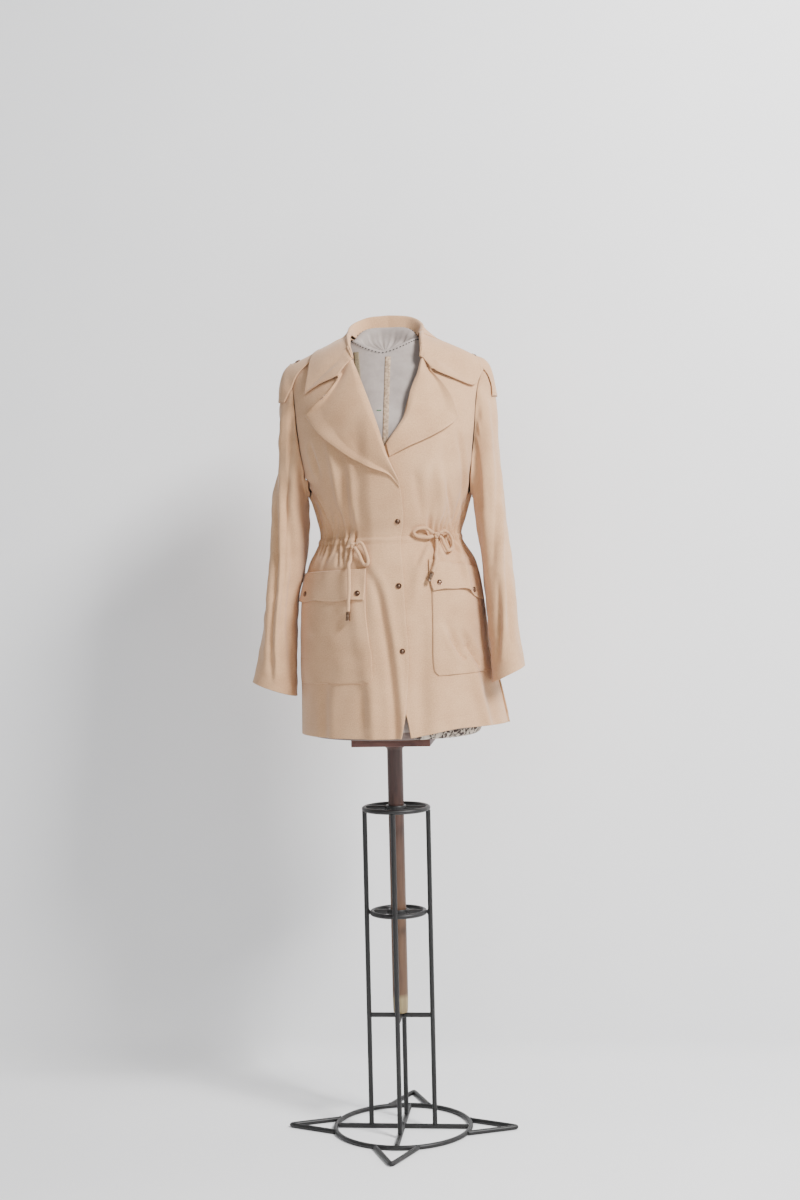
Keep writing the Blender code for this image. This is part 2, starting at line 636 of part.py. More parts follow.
def sleeves():
    count = 20
    for name, side in (("sleeve_right", -1.0), ("sleeve_left", 1.0)):
        hole = armhole_loop(side, count)
        ring = sleeve_ring(name, side, 0.0, count)
        grid = []
        for t in (0.0, 0.10, 0.26, 0.46, 0.66, 0.85):
            line = []
            for k, (a, b) in enumerate(zip(hole, ring)):
                reach = (b - a).length
                cap = 0.5 + 0.5 * math.cos(2.0 * math.pi * k / count)
                leave = Vector((side * (0.35 + 0.05 * cap) * reach, 0.0, -0.55 * reach))
                arrive = Vector((side * 0.10 * reach * cap, 0.0, -0.85 * reach))
                line.append(a * (2*t**3 - 3*t**2 + 1) + leave * (t**3 - 2*t**2 + t)
                            + b * (3*t**2 - 2*t**3) + arrive * (t**3 - t**2))
            grid.append(line)
        grid += [sleeve_ring(name, side, step * 5.0 / 13.0, count) for step in range(14)]
        normals = grid_normals(grid, wrap=True)
        if normals[-1][0].x * side < 0.0:
            normals = [[-n for n in line] for line in normals]
        shell(name, raised(grid, normals, 0.0), raised(grid, normals, CLOTH), cloth_material(), wrap=True)


def lay_sheet(name, grid, tree, margin, thick):
    """Make a sheet that lies on other pieces, with its outer wall raised by its thickness."""
    grid = settle(grid, tree, margin)
    normals = grid_normals(grid)
    middle = grid[len(grid) // 2][len(grid[0]) // 2]
    if normals[len(grid) // 2][len(grid[0]) // 2].dot(middle - Vector((0.0, 0.0, 1.36))) < 0.0:
        normals = [[-n for n in line] for line in normals]
    shell(name, raised(grid, normals, 0.0), raised(grid, normals, thick), cloth_material())


def lapels():
    for name, table in LAPELS.items():
        under = outside_of("front_right" if name == "lapel_right" else "front_left")
        grid = []
        for step in range(11):
            line = []
            for w in (0.0, 0.07, 0.2, 0.45, 0.72, 1.0):
                x = lerp(look(table, "roll_x", step), look(table, "edge_x", step), w)
                z = lerp(look(table, "roll_z", step), look(table, "edge_z", step), w)
                soft = 0.0045 * math.sin(math.pi * min(1.0, w * 1.6 + 0.05)) ** 0.7 if w < 0.6 else 0.0
                soft = max(soft, 0.0003) * ease(-0.5, 2.0, step)
                lap = overlap_lift(x, z) if name == "lapel_right" else 0.0
                line.append(skin(x, z, -1, lap + SEAM + soft, folded=False))
            grid.append(line)
        lay_sheet(name, grid, under, 0.0007, DOUBLE)


def epaulettes():
    for name, side in (("epaulette_right", -1.0), ("epaulette_left", 1.0)):
        front = "front_right" if side < 0 else "front_left"
        sleeve = "sleeve_right" if side < 0 else "sleeve_left"
        under = outside_of(front, "back", sleeve)
        grid = []
        for i in range(10):
            turn = math.radians(lerp(STRAP_TURNS[0], STRAP_TURNS[1], i / 9.0))
            towards = Vector((-side * math.sin(turn), 0.0, -math.cos(turn)))
            half = STRAP_HALF if i < 9 else STRAP_HALF * 0.75
            line = []
            for w in (-1.0, -0.5, 0.0, 0.5, 1.0):
                aim = Vector((side * STRAP_AIM[0], STRAP_AIM[1] + half * w, STRAP_AIM[2]))
                line.append(first_hit(under, aim - towards * 0.3, towards, SEAM * 2.2))
            grid.append(line)
        lay_sheet(name, grid, under, 0.0009, DOUBLE)


def collar():
    """Stand and fall as one folded sheet, from one gorge round the back to the other."""
    under = outside_of("front_right", "front_left", "back", "sleeve_right", "sleeve_left",
                     "epaulette_right", "epaulette_left")
    steps = [-1.0, -0.94, -0.91, -0.88, -0.84, -0.80, -0.76, -0.72, -0.67, -0.62, -0.57, -0.50, -0.40, -0.28,
             -0.14, 0.0]
    steps += [-s for s in reversed(steps[:-1])]
    sheet = []
    for step in steps:
        at = abs(step)
        side = -1.0 if step < 0.0 else 1.0
        word = "right" if step < 0.0 else "left"
        seam = Vector((side * look(COLLAR, "seam_x", at), look(COLLAR, "seam_y", at), look(COLLAR, "seam_z", at)))
        fold = Vector((side * look(COLLAR, "fold_x", at), look(COLLAR, "fold_y", at), look(COLLAR, "fold_z", at)))
        edge_x = look(EDGES, "over" if step < 0.0 else "under", seam.z)
        on_front = ease(0.50, 0.66, at)
        clear = 0.0016 + 0.0016 * ease(0.80, 0.66, at)
        seam = seam.lerp(skin(edge_x + side * 0.0035, seam.z, -1, clear), on_front)
        seam.z += 0.0012 * ease(0.80, 0.60, at) * ease(0.40, 0.55, at)
        fold = fold.lerp(skin(edge_x - side * 0.0005, seam.z, -1, 0.0075 - 0.0035 * ease(0.8, 1.0, at)), on_front)
        x, z = side * look(COLLAR, word + "_x", at), look(COLLAR, word + "_z", at)
        face = 1 if at < 0.57 else -1
        z = min(z, ridge(x) - 0.0004)
        edge = skin(x, z, face, 0.0045, folded=False)
        away = Vector((fold.x, fold.y * 1.2, 0.0)).normalized()
        roll = 0.006 * ease(1.05, 0.75, at) + 0.0012
        crest = fold + away * roll * 0.5 + Vector((0.0, 0.0, roll * 0.25))
        over = fold + away * roll - Vector((0.0, 0.0, 0.001 + 0.005 * ease(1.02, 0.80, at)))
        line = [seam, fold - away * 0.0008, crest, over]
        for w in (0.28, 0.52, 0.76, 1.0):
            line.append(over.lerp(edge, w) + away * 0.004 * math.sin(math.pi * w))
        sheet.append(line)
    sheet = settle(sheet, under, 0.0010)
    normals = grid_normals(sheet)
    if normals[len(steps) // 2][-1].y < 0.0:
        normals = [[-n for n in line] for line in normals]
    shell("collar", raised(sheet, normals, 0.0), raised(sheet, normals, DOUBLE), cloth_material())


def patches(table_of, thick, lift, over):
    """Pockets and flaps: panels moved out from the front's own points."""
    for name, table in table_of.items():
        side = -1.0 if name.endswith("right") else 1.0
        under = outside_of("front_right" if side < 0.0 else "front_left", *over[name])
        grid = []
        for row in named(table):
            line = []
            start = math.degrees(math.asin(row["inner_x"] / half_width(side, row["z"])))
            corner = 0.965 if name.startswith("pocket") and row["step"] == 5 else 1.0
            end = side * (SIDE_SEAM - 2.0) * corner
            for k in range(11):
                z = lerp(row["z"], row["outer_z"], k / 10.0)
                turn = math.radians(lerp(start, end, k / 10.0))
                x = math.sin(turn) * half_width(side, z)
                line.append(skin(x, z, -1, lift + (overlap_lift(x, z) if side < 0.0 else 0.0)))
            grid.append(line)
        lay_sheet(name, grid, under, SEAM * 1.6, thick)


def turned(name, profile, look_of, sides, place, axis, smooth=True):
    """A closed body of revolution: profile rows are radius and height along the axis."""
    axis = axis.normalized()
    across = axis.orthogonal().normalized()
    other = axis.cross(across)
    points, rings = [], []
    for radius, height in profile:
        if radius < 1e-6:
            rings.append([len(points)])
            points.append(place + axis * height)
            continue
        ring = []
        for k in range(sides):
            turn = 2.0 * math.pi * (k + 0.5) / sides
            ring.append(len(points))
            points.append(place + axis * height + (across * math.cos(turn) + other * math.sin(turn)) * radius)
        rings.append(ring)
    faces = []
    for a, b in zip(rings, rings[1:]):
        for k in range(sides):
            n = (k + 1) % sides
            if len(a) == 1:
                faces.append((a[0], b[k], b[n]))
            elif len(b) == 1:
                faces.append((a[k], b[0], a[n]))
            else:
                faces.append((a[k], b[k], b[n], a[n]))
    if len(rings[0]) > 1:
        faces.append(tuple(rings[0]))
    if len(rings[-1]) > 1:
        faces.append(tuple(reversed(rings[-1])))
    return add_object(name, points, faces, look_of, smooth)


def seat(tree, start, towards):
    """Where a snap sits: the mean of the cloth's surface round its middle, and that surface's normal."""
    across = towards.cross(Vector((0.0, 0.3, 1.0))).normalized()
    up = across.cross(towards).normalized()
    reach = SNAP_R * 0.75
    around = [tree.ray_cast(start + step, towards)[0]
              for step in (-across * reach, across * reach, -up * reach, up * reach)]
    middle = tree.ray_cast(start, towards)[0]
    normal = (around[1] - around[0]).cross(around[3] - around[2]).normalized()
    return (sum(around, Vector()) + middle * 2.0) / 6.0, (normal if normal.dot(towards) < 0.0 else -normal)


def snaps():
    profile = ((0.0, 0.0010), (SNAP_R, 0.0010), (SNAP_R * 0.94, 0.0024), (SNAP_R * 0.5, 0.0029), (0.0, 0.0024))
    for number, row in enumerate(named(SNAPS)):
        place, normal = seat(outside_of(row["host"]), Vector((row["x"], -0.4, row["z"])), Vector((0.0, 1.0, 0.0)))
        turned("snap_%d" % (number + 1), profile, brass_material(), 10, place, normal)
    for name, strap, side in (("snap_strap_right", "epaulette_right", -1.0), ("snap_strap_left", "epaulette_left", 1.0)):
        turn = math.radians(STRAP_SNAP_TURN)
        towards = Vector((-side * math.sin(turn), 0.0, -math.cos(turn)))
        start = Vector((side * STRAP_AIM[0], STRAP_AIM[1], STRAP_AIM[2])) - towards * 0.3
        place, normal = seat(outside_of(strap), start, towards)
        turned(name, [(r * 0.9, h - 0.0004) for r, h in profile], brass_material(), 10, place, normal)


def tube(name, points, radius, look_of, resolution=2):
    curve = bpy.data.curves.new(name, "CURVE")
    curve.dimensions = "3D"
    curve.bevel_depth = radius
    curve.bevel_resolution = resolution
    curve.use_fill_caps = True
    spline = curve.splines.new("POLY")
    spline.points.add(len(points) - 1)
    for item, p in zip(spline.points, points):
        item.co = (*p, 1.0)
    made = bpy.data.objects.new(name, curve)
    bpy.context.scene.collection.objects.link(made)
    curve.materials.append(look_of)
    return made


def smooth_route(points, between):
    """Points read from a smooth curve through a route's own points."""
    made = []
    for i in range(len(points) - 1):
        before, a = points[max(i - 1, 0)], points[i]
        b, after = points[i + 1], points[min(i + 2, len(points) - 1)]
        for k in range(between):
            t = k / between
            made.append(((2 * t**3 - 3 * t**2 + 1) * a + (t**3 - 2 * t**2 + t) * (b - before) * 0.5
                         + (3 * t**2 - 2 * t**3) * b + (t**3 - t**2) * (after - a) * 0.5))
    made.append(points[-1])
    return made


def meet(points, end, tree, centre):
    """Slide a cord's end towards its knot until its flat end all but touches it."""
    for _ in range(12):
        tip, before = points[end], points[1 if end == 0 else -2]
        along = (tip - before).normalized()
        across = along.orthogonal().normalized()
        rim = [tip + (across * math.cos(t) + along.cross(across) * math.sin(t)) * CORD_R
               for t in (math.pi * k / 4.0 for k in range(8))]
        gaps = []
        for p in rim + [tip]:
            near, normal, _, gap = tree.find_nearest(p)
            gaps.append(gap if (p - near).dot(near - centre) > 0.0 else -gap)
        points[end] = tip + (centre - tip).normalized() * (min(gaps) - SEAM * 1.8) * 0.7


def drawcord():
    under = outside_of("front_right", "front_left", "pocket_right", "pocket_left", "flap_right", "flap_left")
    cord = material("cotton cord", (0.50, 0.34, 0.24), 0.9)
    inward = Vector((0.0, 1.0, 0.0))
    knots, trees = {}, {}

    def on_cloth(x, z, off):
        return first_hit(under, Vector((x, -0.4, z)), inward, off + 0.0012)

    for name, (x, z) in KNOTS.items():
        place = on_cloth(x, z, KNOT_OFF)
        profile = ((0.0, -0.0070), (0.0045, -0.0060), (0.0066, -0.0025), (0.0066, 0.0025), (0.0045, 0.0060),
                   (0.0, 0.0070))
        knots[name] = place
        made = turned(name, profile, cord, 10, place, Vector((1.0, 0.0, 0.25)))
        trees[name] = BVHTree.FromPolygons([v.co for v in made.data.vertices],
                                           [tuple(p.vertices) for p in made.data.polygons])
    for name, rows in CORDS.items():
        points = smooth_route([on_cloth(x, z, off) for x, z, off in rows], 2)
        for p in points:
            near, normal, _, _ = under.find_nearest(p)
            normal = normal if normal.y < 0.0 else -normal
            p += normal * max(0.0, CORD_R + CORD_GAP - (p - near).dot(normal))
        knot = "drawcord_knot_right" if name.endswith("right") else "drawcord_knot_left"
        for end in ((0, -1) if "loop" in name else (0,)):
            meet(points, end, trees[knot], knots[knot])
        tube(name, points, CORD_R, cord, 1)
    for name, (top, low, off) in TIPS.items():
        a, b = on_cloth(*top, off), on_cloth(*low, off)
        b.y = a.y + (b.y - a.y) * 0.6
        length = (b - a).length
        gap = 0.0005
        profile = ((0.0, gap), (0.0040, gap), (0.0044, gap + 0.002), (0.0038, gap + 0.004),
                   (0.0044, length * 0.55), (0.0038, length - 0.001), (0.0, length))
        turned(name, profile, brass_material(), 10, a, b - a)


def dress_form():
    """Smooth torso inside the jacket with a slanted hollow neck."""
    sides = 28
    rows = [0.0, 0.012, 0.06, 0.13, 0.20, 0.27, 0.32, 0.36, 0.39, 0.43, 0.48, 0.54, 0.60, 0.65, 0.685, 0.71,
            0.728, 0.742, 0.754, 0.765]
    neck_side, neck_front, neck_back = 0.0540, 0.060, 0.041

    def ring(z, lean):
        line = []
        for k in range(sides):
            turn = 2.0 * math.pi * k / sides
            height = z - lean * math.cos(turn)
            wide = NECK_HALF - 0.006 + (NECK_Z - FORM_TOP_GAP - CLOTH - height) / SHOULDER_FALL
            half = half_width(-1.0, height, FORM_SIDE_GAP)
            if height > 1.2:
                half = min(half, 0.176)
            wide = max(min(wide, half), neck_side)
            x = wide * math.sin(turn)
            face = -1 if math.cos(turn) > 0.0 else 1
            hollow = lerp(FORM_DEPTH_GAP, FORM_NECK_GAP, ease(1.36, 1.46, height))
            y = depth(-abs(x), height, face, FORM_SIDE_GAP, hollow, FORM_TOP_GAP + CLOTH)
            inside = max(0.0, 1.0 - (x / neck_side) ** 2)
            y = max(y, (neck_front if face < 0 else neck_back) * math.sqrt(inside) * ease(1.44, 1.49, height))
            line.append(Vector((x, face * max(y, 0.0002 * abs(math.cos(turn))), height)))
        return line

    grid = []
    for number, row in enumerate(rows):
        z = FORM_BOTTOM + row
        line = ring(z, 0.030 * ease(1.44, 1.53, z))
        if number == 0:
            middle = sum(line, Vector()) / len(line)
            line = [middle + (p - middle) * 0.97 for p in line]
            for p in line:
                p.z = FORM_BOTTOM
        grid.append(line)
    rim = grid[-1]
    middle = sum(rim, Vector()) / len(rim)
    for share, drop in ((0.93, -0.001), (0.86, -0.006), (0.62, -0.017), (0.32, -0.023)):
        grid.append([middle + (p - middle) * share + Vector((0.0, 0.0, drop)) for p in rim])
    points = [p for line in grid for p in line]
    points.append(middle + Vector((0.0, 0.0, -0.025)))
    faces = [tuple(range(sides))]
    for i in range(len(grid) - 1):
        for k in range(sides):
            n = (k + 1) % sides
            faces.append((i * sides + k, i * sides + n, (i + 1) * sides + n, (i + 1) * sides + k))
    last = (len(grid) - 1) * sides
    for k in range(sides):
        faces.append((last + k, last + (k + 1) % sides, len(points) - 1))
    add_object("dress_form", points, faces, material("calico", (0.45, 0.41, 0.38), 0.9))


def block(name, low, high, look_of, bevel=0.0):
    """A box between two corners, with its edges bevelled when bevel is given."""
    made = bpy.data.meshes.new(name)
    work = bmesh.new()
    bmesh.ops.create_cube(work, size=1.0)
    for v in work.verts:
        v.co = Vector([lerp(low[k], high[k], v.co[k] + 0.5) for k in range(3)])
    if bevel:
        bmesh.ops.bevel(work, geom=list(work.edges), offset=bevel, segments=2, affect="EDGES")
    work.to_mesh(made)
    work.free()
    item = bpy.data.objects.new(name, made)
    bpy.context.scene.collection.objects.link(item)
    made.materials.append(look_of)
    return item


def wood():
    top = FORM_BOTTOM - 0.0003
    low = top - BOARD[2]
    block("board", (-BOARD[0] / 2, -BOARD[1] / 2, low), (BOARD[0] / 2, BOARD[1] / 2, top),
          material("stained board", (0.075, 0.030, 0.025), 0.5), 0.0012)
    head = low - 0.0003
    profile = ((0.0, POLE_FOOT), (POLE_R * 0.86, POLE_FOOT), (POLE_R * 0.93, POLE_FOOT + 0.002),
               (POLE_R, POLE_FOOT + 0.03), (POLE_R, 0.50), (POLE_R, head - 0.011), (0.0185, head - 0.0075),
               (0.0285, head - 0.003), (0.0295, head), (0.0, head))
    turned("pole", profile, material("stained pole", (0.045, 0.022, 0.018), 0.45), 16, Vector(), Vector((0, 0, 1)))


def cope(points, towards, radius):
    """Shape a rod's end to the ring it meets: slide its points along the rod to that radius."""
    made = []
    for p in points:
        a = towards.x ** 2 + towards.y ** 2
        b = 2.0 * (p.x * towards.x + p.y * towards.y)
        c = p.x ** 2 + p.y ** 2 - radius ** 2
        made.append(p + towards * ((-b + math.sqrt(max(0.0, b * b - 4.0 * a * c))) / (2.0 * a)))
    return made


def rod(name, points, closed=False, sides=8, ring=0.0):
    """An iron rod along a path; its eight sides give it a flat underside."""
    count = len(points)
    rings = []
    for i, p in enumerate(points):
        before = points[(i - 1) % count] if closed or i > 0 else p
        after = points[(i + 1) % count] if closed or i < count - 1 else p
        along = (after - before).normalized()
        guide = Vector((0.0, 0.0, 1.0)) if abs(along.z) < 0.9 else Vector((1.0, 0.0, 0.0))
        across = along.cross(guide).normalized()
        up = across.cross(along).normalized()
        stretch = 1.0
        if 0 < i < count - 1 or closed:
            first = (p - before).normalized()
            second = (after - p).normalized()
            stretch = 1.0 / max(0.5, math.cos(first.angle(second) / 2.0))
        radius = ROD / math.cos(math.pi / sides)
        rings.append([p + across * radius * stretch * math.cos(t) + up * radius * math.sin(t)
                      for t in (2.0 * math.pi * (k + 0.5) / sides for k in range(sides))])
    if ring:
        rings[0] = cope(rings[0], (points[1] - points[0]).normalized(), ring)
        rings[-1] = cope(rings[-1], (points[-2] - points[-1]).normalized(), ring)
    verts = [v for line in rings for v in line]
    faces = []
    for i in range(count if closed else count - 1):
        n = (i + 1) % count
        for k in range(sides):
            m = (k + 1) % sides
            faces.append((i * sides + k, i * sides + m, n * sides + m, n * sides + k))
    if not closed:
        faces.append(tuple(range(sides)))
        faces.append(tuple((count - 1) * sides + k for k in reversed(range(sides))))
    return add_object(name, verts, faces, iron_material())


def circle(radius, z, count):
    return [Vector((radius * math.cos(2.0 * math.pi * k / count), radius * math.sin(2.0 * math.pi * k / count), z))
            for k in range(count)]


def iron_stand():
    gap = SEAM
    low = ROD
    rod("base_ring", circle(BASE_RING_R, low, BASE_SEGMENTS), closed=True)
    inner = BASE_RING_R - ROD * 1.1 - gap
    rod("base_bar_across", [Vector((-inner, 0, low)), Vector((inner, 0, low))])
    for name, side in (("base_bar_front", -1.0), ("base_bar_back", 1.0)):
        rod(name, [Vector((0, side * (ROD * 1.1 + gap), low)), Vector((0, side * inner, low))])
    for number, name in enumerate(("foot_left", "foot_back", "foot_right", "foot_front")):
        middle = math.pi / 2.0 * number
        spread = math.radians(FOOT_SPREAD)
        start = (BASE_RING_R + ROD) * math.cos(math.pi / BASE_SEGMENTS) + gap
        line = []
        for turn, radius in ((-spread, start), (-spread * 0.12, FOOT_TIP_R - 0.010), (-spread * 0.05, FOOT_TIP_R - 0.003),
                             (0.0, FOOT_TIP_R), (spread * 0.05, FOOT_TIP_R - 0.003),
                             (spread * 0.12, FOOT_TIP_R - 0.010), (spread, start)):
            line.append(Vector((radius * math.cos(middle + turn), radius * math.sin(middle + turn), low)))
        rod(name, line, ring=start)
    leg_foot = 2.0 * ROD + gap
    leg_top = RING_TOP_Z - ROD * 1.16 - gap
    for number, name in enumerate(("leg_left", "leg_back", "leg_right", "leg_front")):
        turn = math.pi / 2.0 * number
        x, y = LEG_R * math.cos(turn), LEG_R * math.sin(turn)
        rod(name, [Vector((x, y, leg_foot)), Vector((x, y, RING_MID_Z)), Vector((x, y, leg_top))])
    reach = LEG_R - ROD * 1.1 - gap
    rod("brace_across", [Vector((-reach, 0, BRACE_Z)), Vector((reach, 0, BRACE_Z))])
    for name, side in (("brace_front", -1.0), ("brace_back", 1.0)):
        rod(name, [Vector((0, side * (ROD * 1.1 + gap), BRACE_Z)), Vector((0, side * reach, BRACE_Z))])
    rod("ring_top", circle(LEG_R, RING_TOP_Z, 24), closed=True, sides=6)
    rod("ring_mid", circle(LEG_R - 2.2 * ROD - gap, RING_MID_Z, 24), closed=True, sides=6)
    collar_r = POLE_R + 0.0005
    wall = 0.004
    for name, z in (("collar_top", RING_TOP_Z), ("collar_mid", RING_MID_Z)):
        sides, half = 16, 0.006
        points = []
        for radius, height in ((collar_r + 0.0002, -half), (collar_r + wall, -half), (collar_r + wall, half),
                               (collar_r + 0.0002, half)):
            points += [Vector((radius * math.cos(2 * math.pi * k / sides), radius * math.sin(2 * math.pi * k / sides),
                               z + height)) for k in range(sides)]
        faces = []
        for layer in range(4):
            for k in range(sides):
                m = (k + 1) % sides
                a, b = layer * sides, ((layer + 1) % 4) * sides
                faces.append((a + k, a + m, b + m, b + k))
        add_object(name, points, faces, iron_material())
    for tag, z, ring_r in (("top", RING_TOP_Z, LEG_R), ("mid", RING_MID_Z, LEG_R - 2.2 * ROD - gap)):
        for word, side in (("right", -1.0), ("left", 1.0)):
            rod("bar_%s_%s" % (tag, word), [Vector((side * (collar_r + wall + gap), 0, z)),
                                            Vector((side * (ring_r - ROD * 1.1 - gap), 0, z))])


def main():
    for item in list(bpy.data.objects):
        bpy.data.objects.remove(item, do_unlink=True)
    front_panels()
    sleeves()
    patches(POCKETS, 0.0016, 0.0008, {"pocket_right": (), "pocket_left": ()})
    patches(FLAPS, DOUBLE, 0.0030, {"flap_right": ("pocket_right",), "flap_left": ("pocket_left",)})
    lapels()
    epaulettes()
    collar()
    snaps()
    drawcord()
    dress_form()
    wood()
    iron_stand()


main()
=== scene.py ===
"""A safari jacket on a limbless dress form, on a wooden pole in a stand of black iron rod."""
import math

import bmesh
import bpy
import numpy as np
from mathutils import Matrix, Vector
from mathutils.bvhtree import BVHTree


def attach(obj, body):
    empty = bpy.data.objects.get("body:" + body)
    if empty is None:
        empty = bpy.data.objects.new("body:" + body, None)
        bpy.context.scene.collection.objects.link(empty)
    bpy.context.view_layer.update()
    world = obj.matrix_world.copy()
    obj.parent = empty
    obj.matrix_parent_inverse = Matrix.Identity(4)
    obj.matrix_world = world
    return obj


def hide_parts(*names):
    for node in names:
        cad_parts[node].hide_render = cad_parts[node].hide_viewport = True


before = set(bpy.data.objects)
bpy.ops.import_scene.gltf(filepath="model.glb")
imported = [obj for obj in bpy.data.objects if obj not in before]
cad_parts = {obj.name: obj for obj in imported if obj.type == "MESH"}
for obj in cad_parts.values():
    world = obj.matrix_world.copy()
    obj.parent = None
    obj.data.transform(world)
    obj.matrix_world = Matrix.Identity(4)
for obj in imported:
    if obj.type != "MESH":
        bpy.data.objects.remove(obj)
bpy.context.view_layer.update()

# The studio. A pale plaster-grey wall runs down into a pale floor in one soft bend.
# One large soft window of light stands at the right, and the pale room fills the shadows.


def colour(hex_code):
    """An sRGB hex value as the linear colour that a shader takes."""
    made = []
    for k in (1, 3, 5):
        c = int(hex_code[k:k + 2], 16) / 255.0
        made.append(c / 12.92 if c <= 0.04045 else ((c + 0.055) / 1.055) ** 2.4)
    return (*made, 1.0)


def add_node(tree, kind, inputs=None, **settings):
    """Add a node with its settings; an input is a value or another node's output."""
    made = tree.nodes.new(kind)
    for key, value in settings.items():
        setattr(made, key, value)
    for key, value in (inputs or {}).items():
        if isinstance(value, bpy.types.NodeSocket):
            tree.links.new(value, made.inputs[key])
        else:
            made.inputs[key].default_value = value
    return made


def new_material(name, hex_code, roughness, metallic=0.0):
    made = bpy.data.materials.new(name)
    made.use_nodes = True
    shader = made.node_tree.nodes["Principled BSDF"]
    shader.inputs["Base Color"].default_value = colour(hex_code)
    shader.inputs["Roughness"].default_value = roughness
    shader.inputs["Metallic"].default_value = metallic
    return made, made.node_tree, shader


def stretched(tree, value, low, high):
    """A value's range between low and high, spread over 0 to 1."""
    made = add_node(tree, "ShaderNodeMapRange", {"Value": value, "From Min": low, "From Max": high})
    return made.outputs["Result"]


def blended(tree, share, first, second):
    """A mix of two colours, each given as a hex value or as another node's output."""
    first, second = (colour(ink) if isinstance(ink, str) else ink for ink in (first, second))
    return add_node(tree, "ShaderNodeMix", {"Factor": share, 6: first, 7: second}, data_type="RGBA").outputs[2]


def add_bump(tree, shader, height, strength, distance):
    made = add_node(tree, "ShaderNodeBump", {"Height": height, "Strength": strength, "Distance": distance})
    tree.links.new(made.outputs["Normal"], shader.inputs["Normal"])


def mesh_object(name, points, faces, finish):
    mesh = bpy.data.meshes.new(name)
    mesh.from_pydata([tuple(p) for p in points], [], faces)
    mesh.validate()
    made = bpy.data.objects.new(name, mesh)
    bpy.context.scene.collection.objects.link(made)
    mesh.materials.append(finish)
    mesh.shade_smooth()
    return made


# The camera stands 3.5 m off at chest height, a little to the wearer's left.
SENSOR, FOCAL_PIXELS, PICTURE_HEIGHT = 36.0, 1796.0, 1200.0
camera_data = bpy.data.cameras.new("camera")
camera_data.sensor_fit = "VERTICAL"
camera_data.sensor_height = SENSOR
camera_data.lens = SENSOR * FOCAL_PIXELS / PICTURE_HEIGHT
camera = bpy.data.objects.new("camera", camera_data)
bpy.context.scene.collection.objects.link(camera)
turn = Matrix(((0.99459059, 0.02004207, 0.10192094), (0.1013641, 0.02707544, -0.99448089),
               (-0.02269101, 0.99943246, 0.02489743)))
camera.matrix_world = Matrix.Translation((0.37351, -3.48001, 1.12438)) @ turn.to_4x4()
bpy.context.scene.camera = camera

# Painted plaster: matte, off-white, with broad uneven patches from the trowel.
wall_finish, tree, shader = new_material("painted plaster", "#F8F8F8", 0.95)
place = add_node(tree, "ShaderNodeTexCoord").outputs["Object"]
patches = add_node(tree, "ShaderNodeTexNoise", {"Vector": place, "Scale": 1.1, "Detail": 5.0, "Roughness": 0.55})
tree.links.new(blended(tree, patches.outputs["Fac"], "#E9EAEC", "#FBFAF9"), shader.inputs["Base Color"])
# Seen from behind, the wall is clear, so it never hides the object.
clear = add_node(tree, "ShaderNodeBsdfTransparent")
behind = add_node(tree, "ShaderNodeNewGeometry").outputs["Backfacing"]
either = add_node(tree, "ShaderNodeMixShader", {0: behind, 1: shader.outputs[0], 2: clear.outputs[0]})
tree.links.new(either.outputs[0], tree.get_output_node("ALL").inputs["Surface"])
FLOOR_REACH, WALL_HEIGHT, WALL_Y, BEND = 5.0, 4.5, 0.44, 0.06
sweep_line = [(-FLOOR_REACH, 0.0), (WALL_Y - BEND, 0.0)]
sweep_line += [(WALL_Y - BEND + BEND * math.sin(a), BEND - BEND * math.cos(a))
               for a in (math.pi / 2 * k / 10 for k in range(1, 11))]
sweep_line += [(WALL_Y, WALL_HEIGHT)]
sweep_points = [(x, y, z) for y, z in sweep_line for x in (-FLOOR_REACH, FLOOR_REACH)]
sweep_faces = [(2 * k, 2 * k + 1, 2 * k + 3, 2 * k + 2) for k in range(len(sweep_line) - 1)]
backdrop = mesh_object("backdrop", sweep_points, sweep_faces, wall_finish)

world = bpy.data.worlds.new("room light")
bpy.context.scene.world = world
world.use_nodes = True
world.node_tree.nodes["Background"].inputs["Color"].default_value = colour("#E9EBEF")
world.node_tree.nodes["Background"].inputs["Strength"].default_value = 0.46
for name, spot, aim, size, power in (("window light", (2.3, -1.9, 3.3), (0.0, 0.0, 1.1), 0.9, 285.0),
                                     ("room fill", (-0.6, -4.4, 2.4), (0.0, 0.0, 1.0), 2.0, 34.0)):
    data = bpy.data.lights.new(name, "AREA")
    data.energy = power
    data.size = size
    lamp = bpy.data.objects.new(name, data)
    bpy.context.scene.collection.objects.link(lamp)
    lamp.location = spot
    lamp.rotation_euler = (Vector(aim) - Vector(spot)).to_track_quat("-Z", "Y").to_euler()

# The jacket's cloth is one mid-weight cotton twill, sand-coloured, matte and a little creased.
# Its metal parts are plated in antique brass.


# Real twill ribs are 0.6 mm apart; they are drawn wider here so that they show.
RIB_PITCH = 0.0011


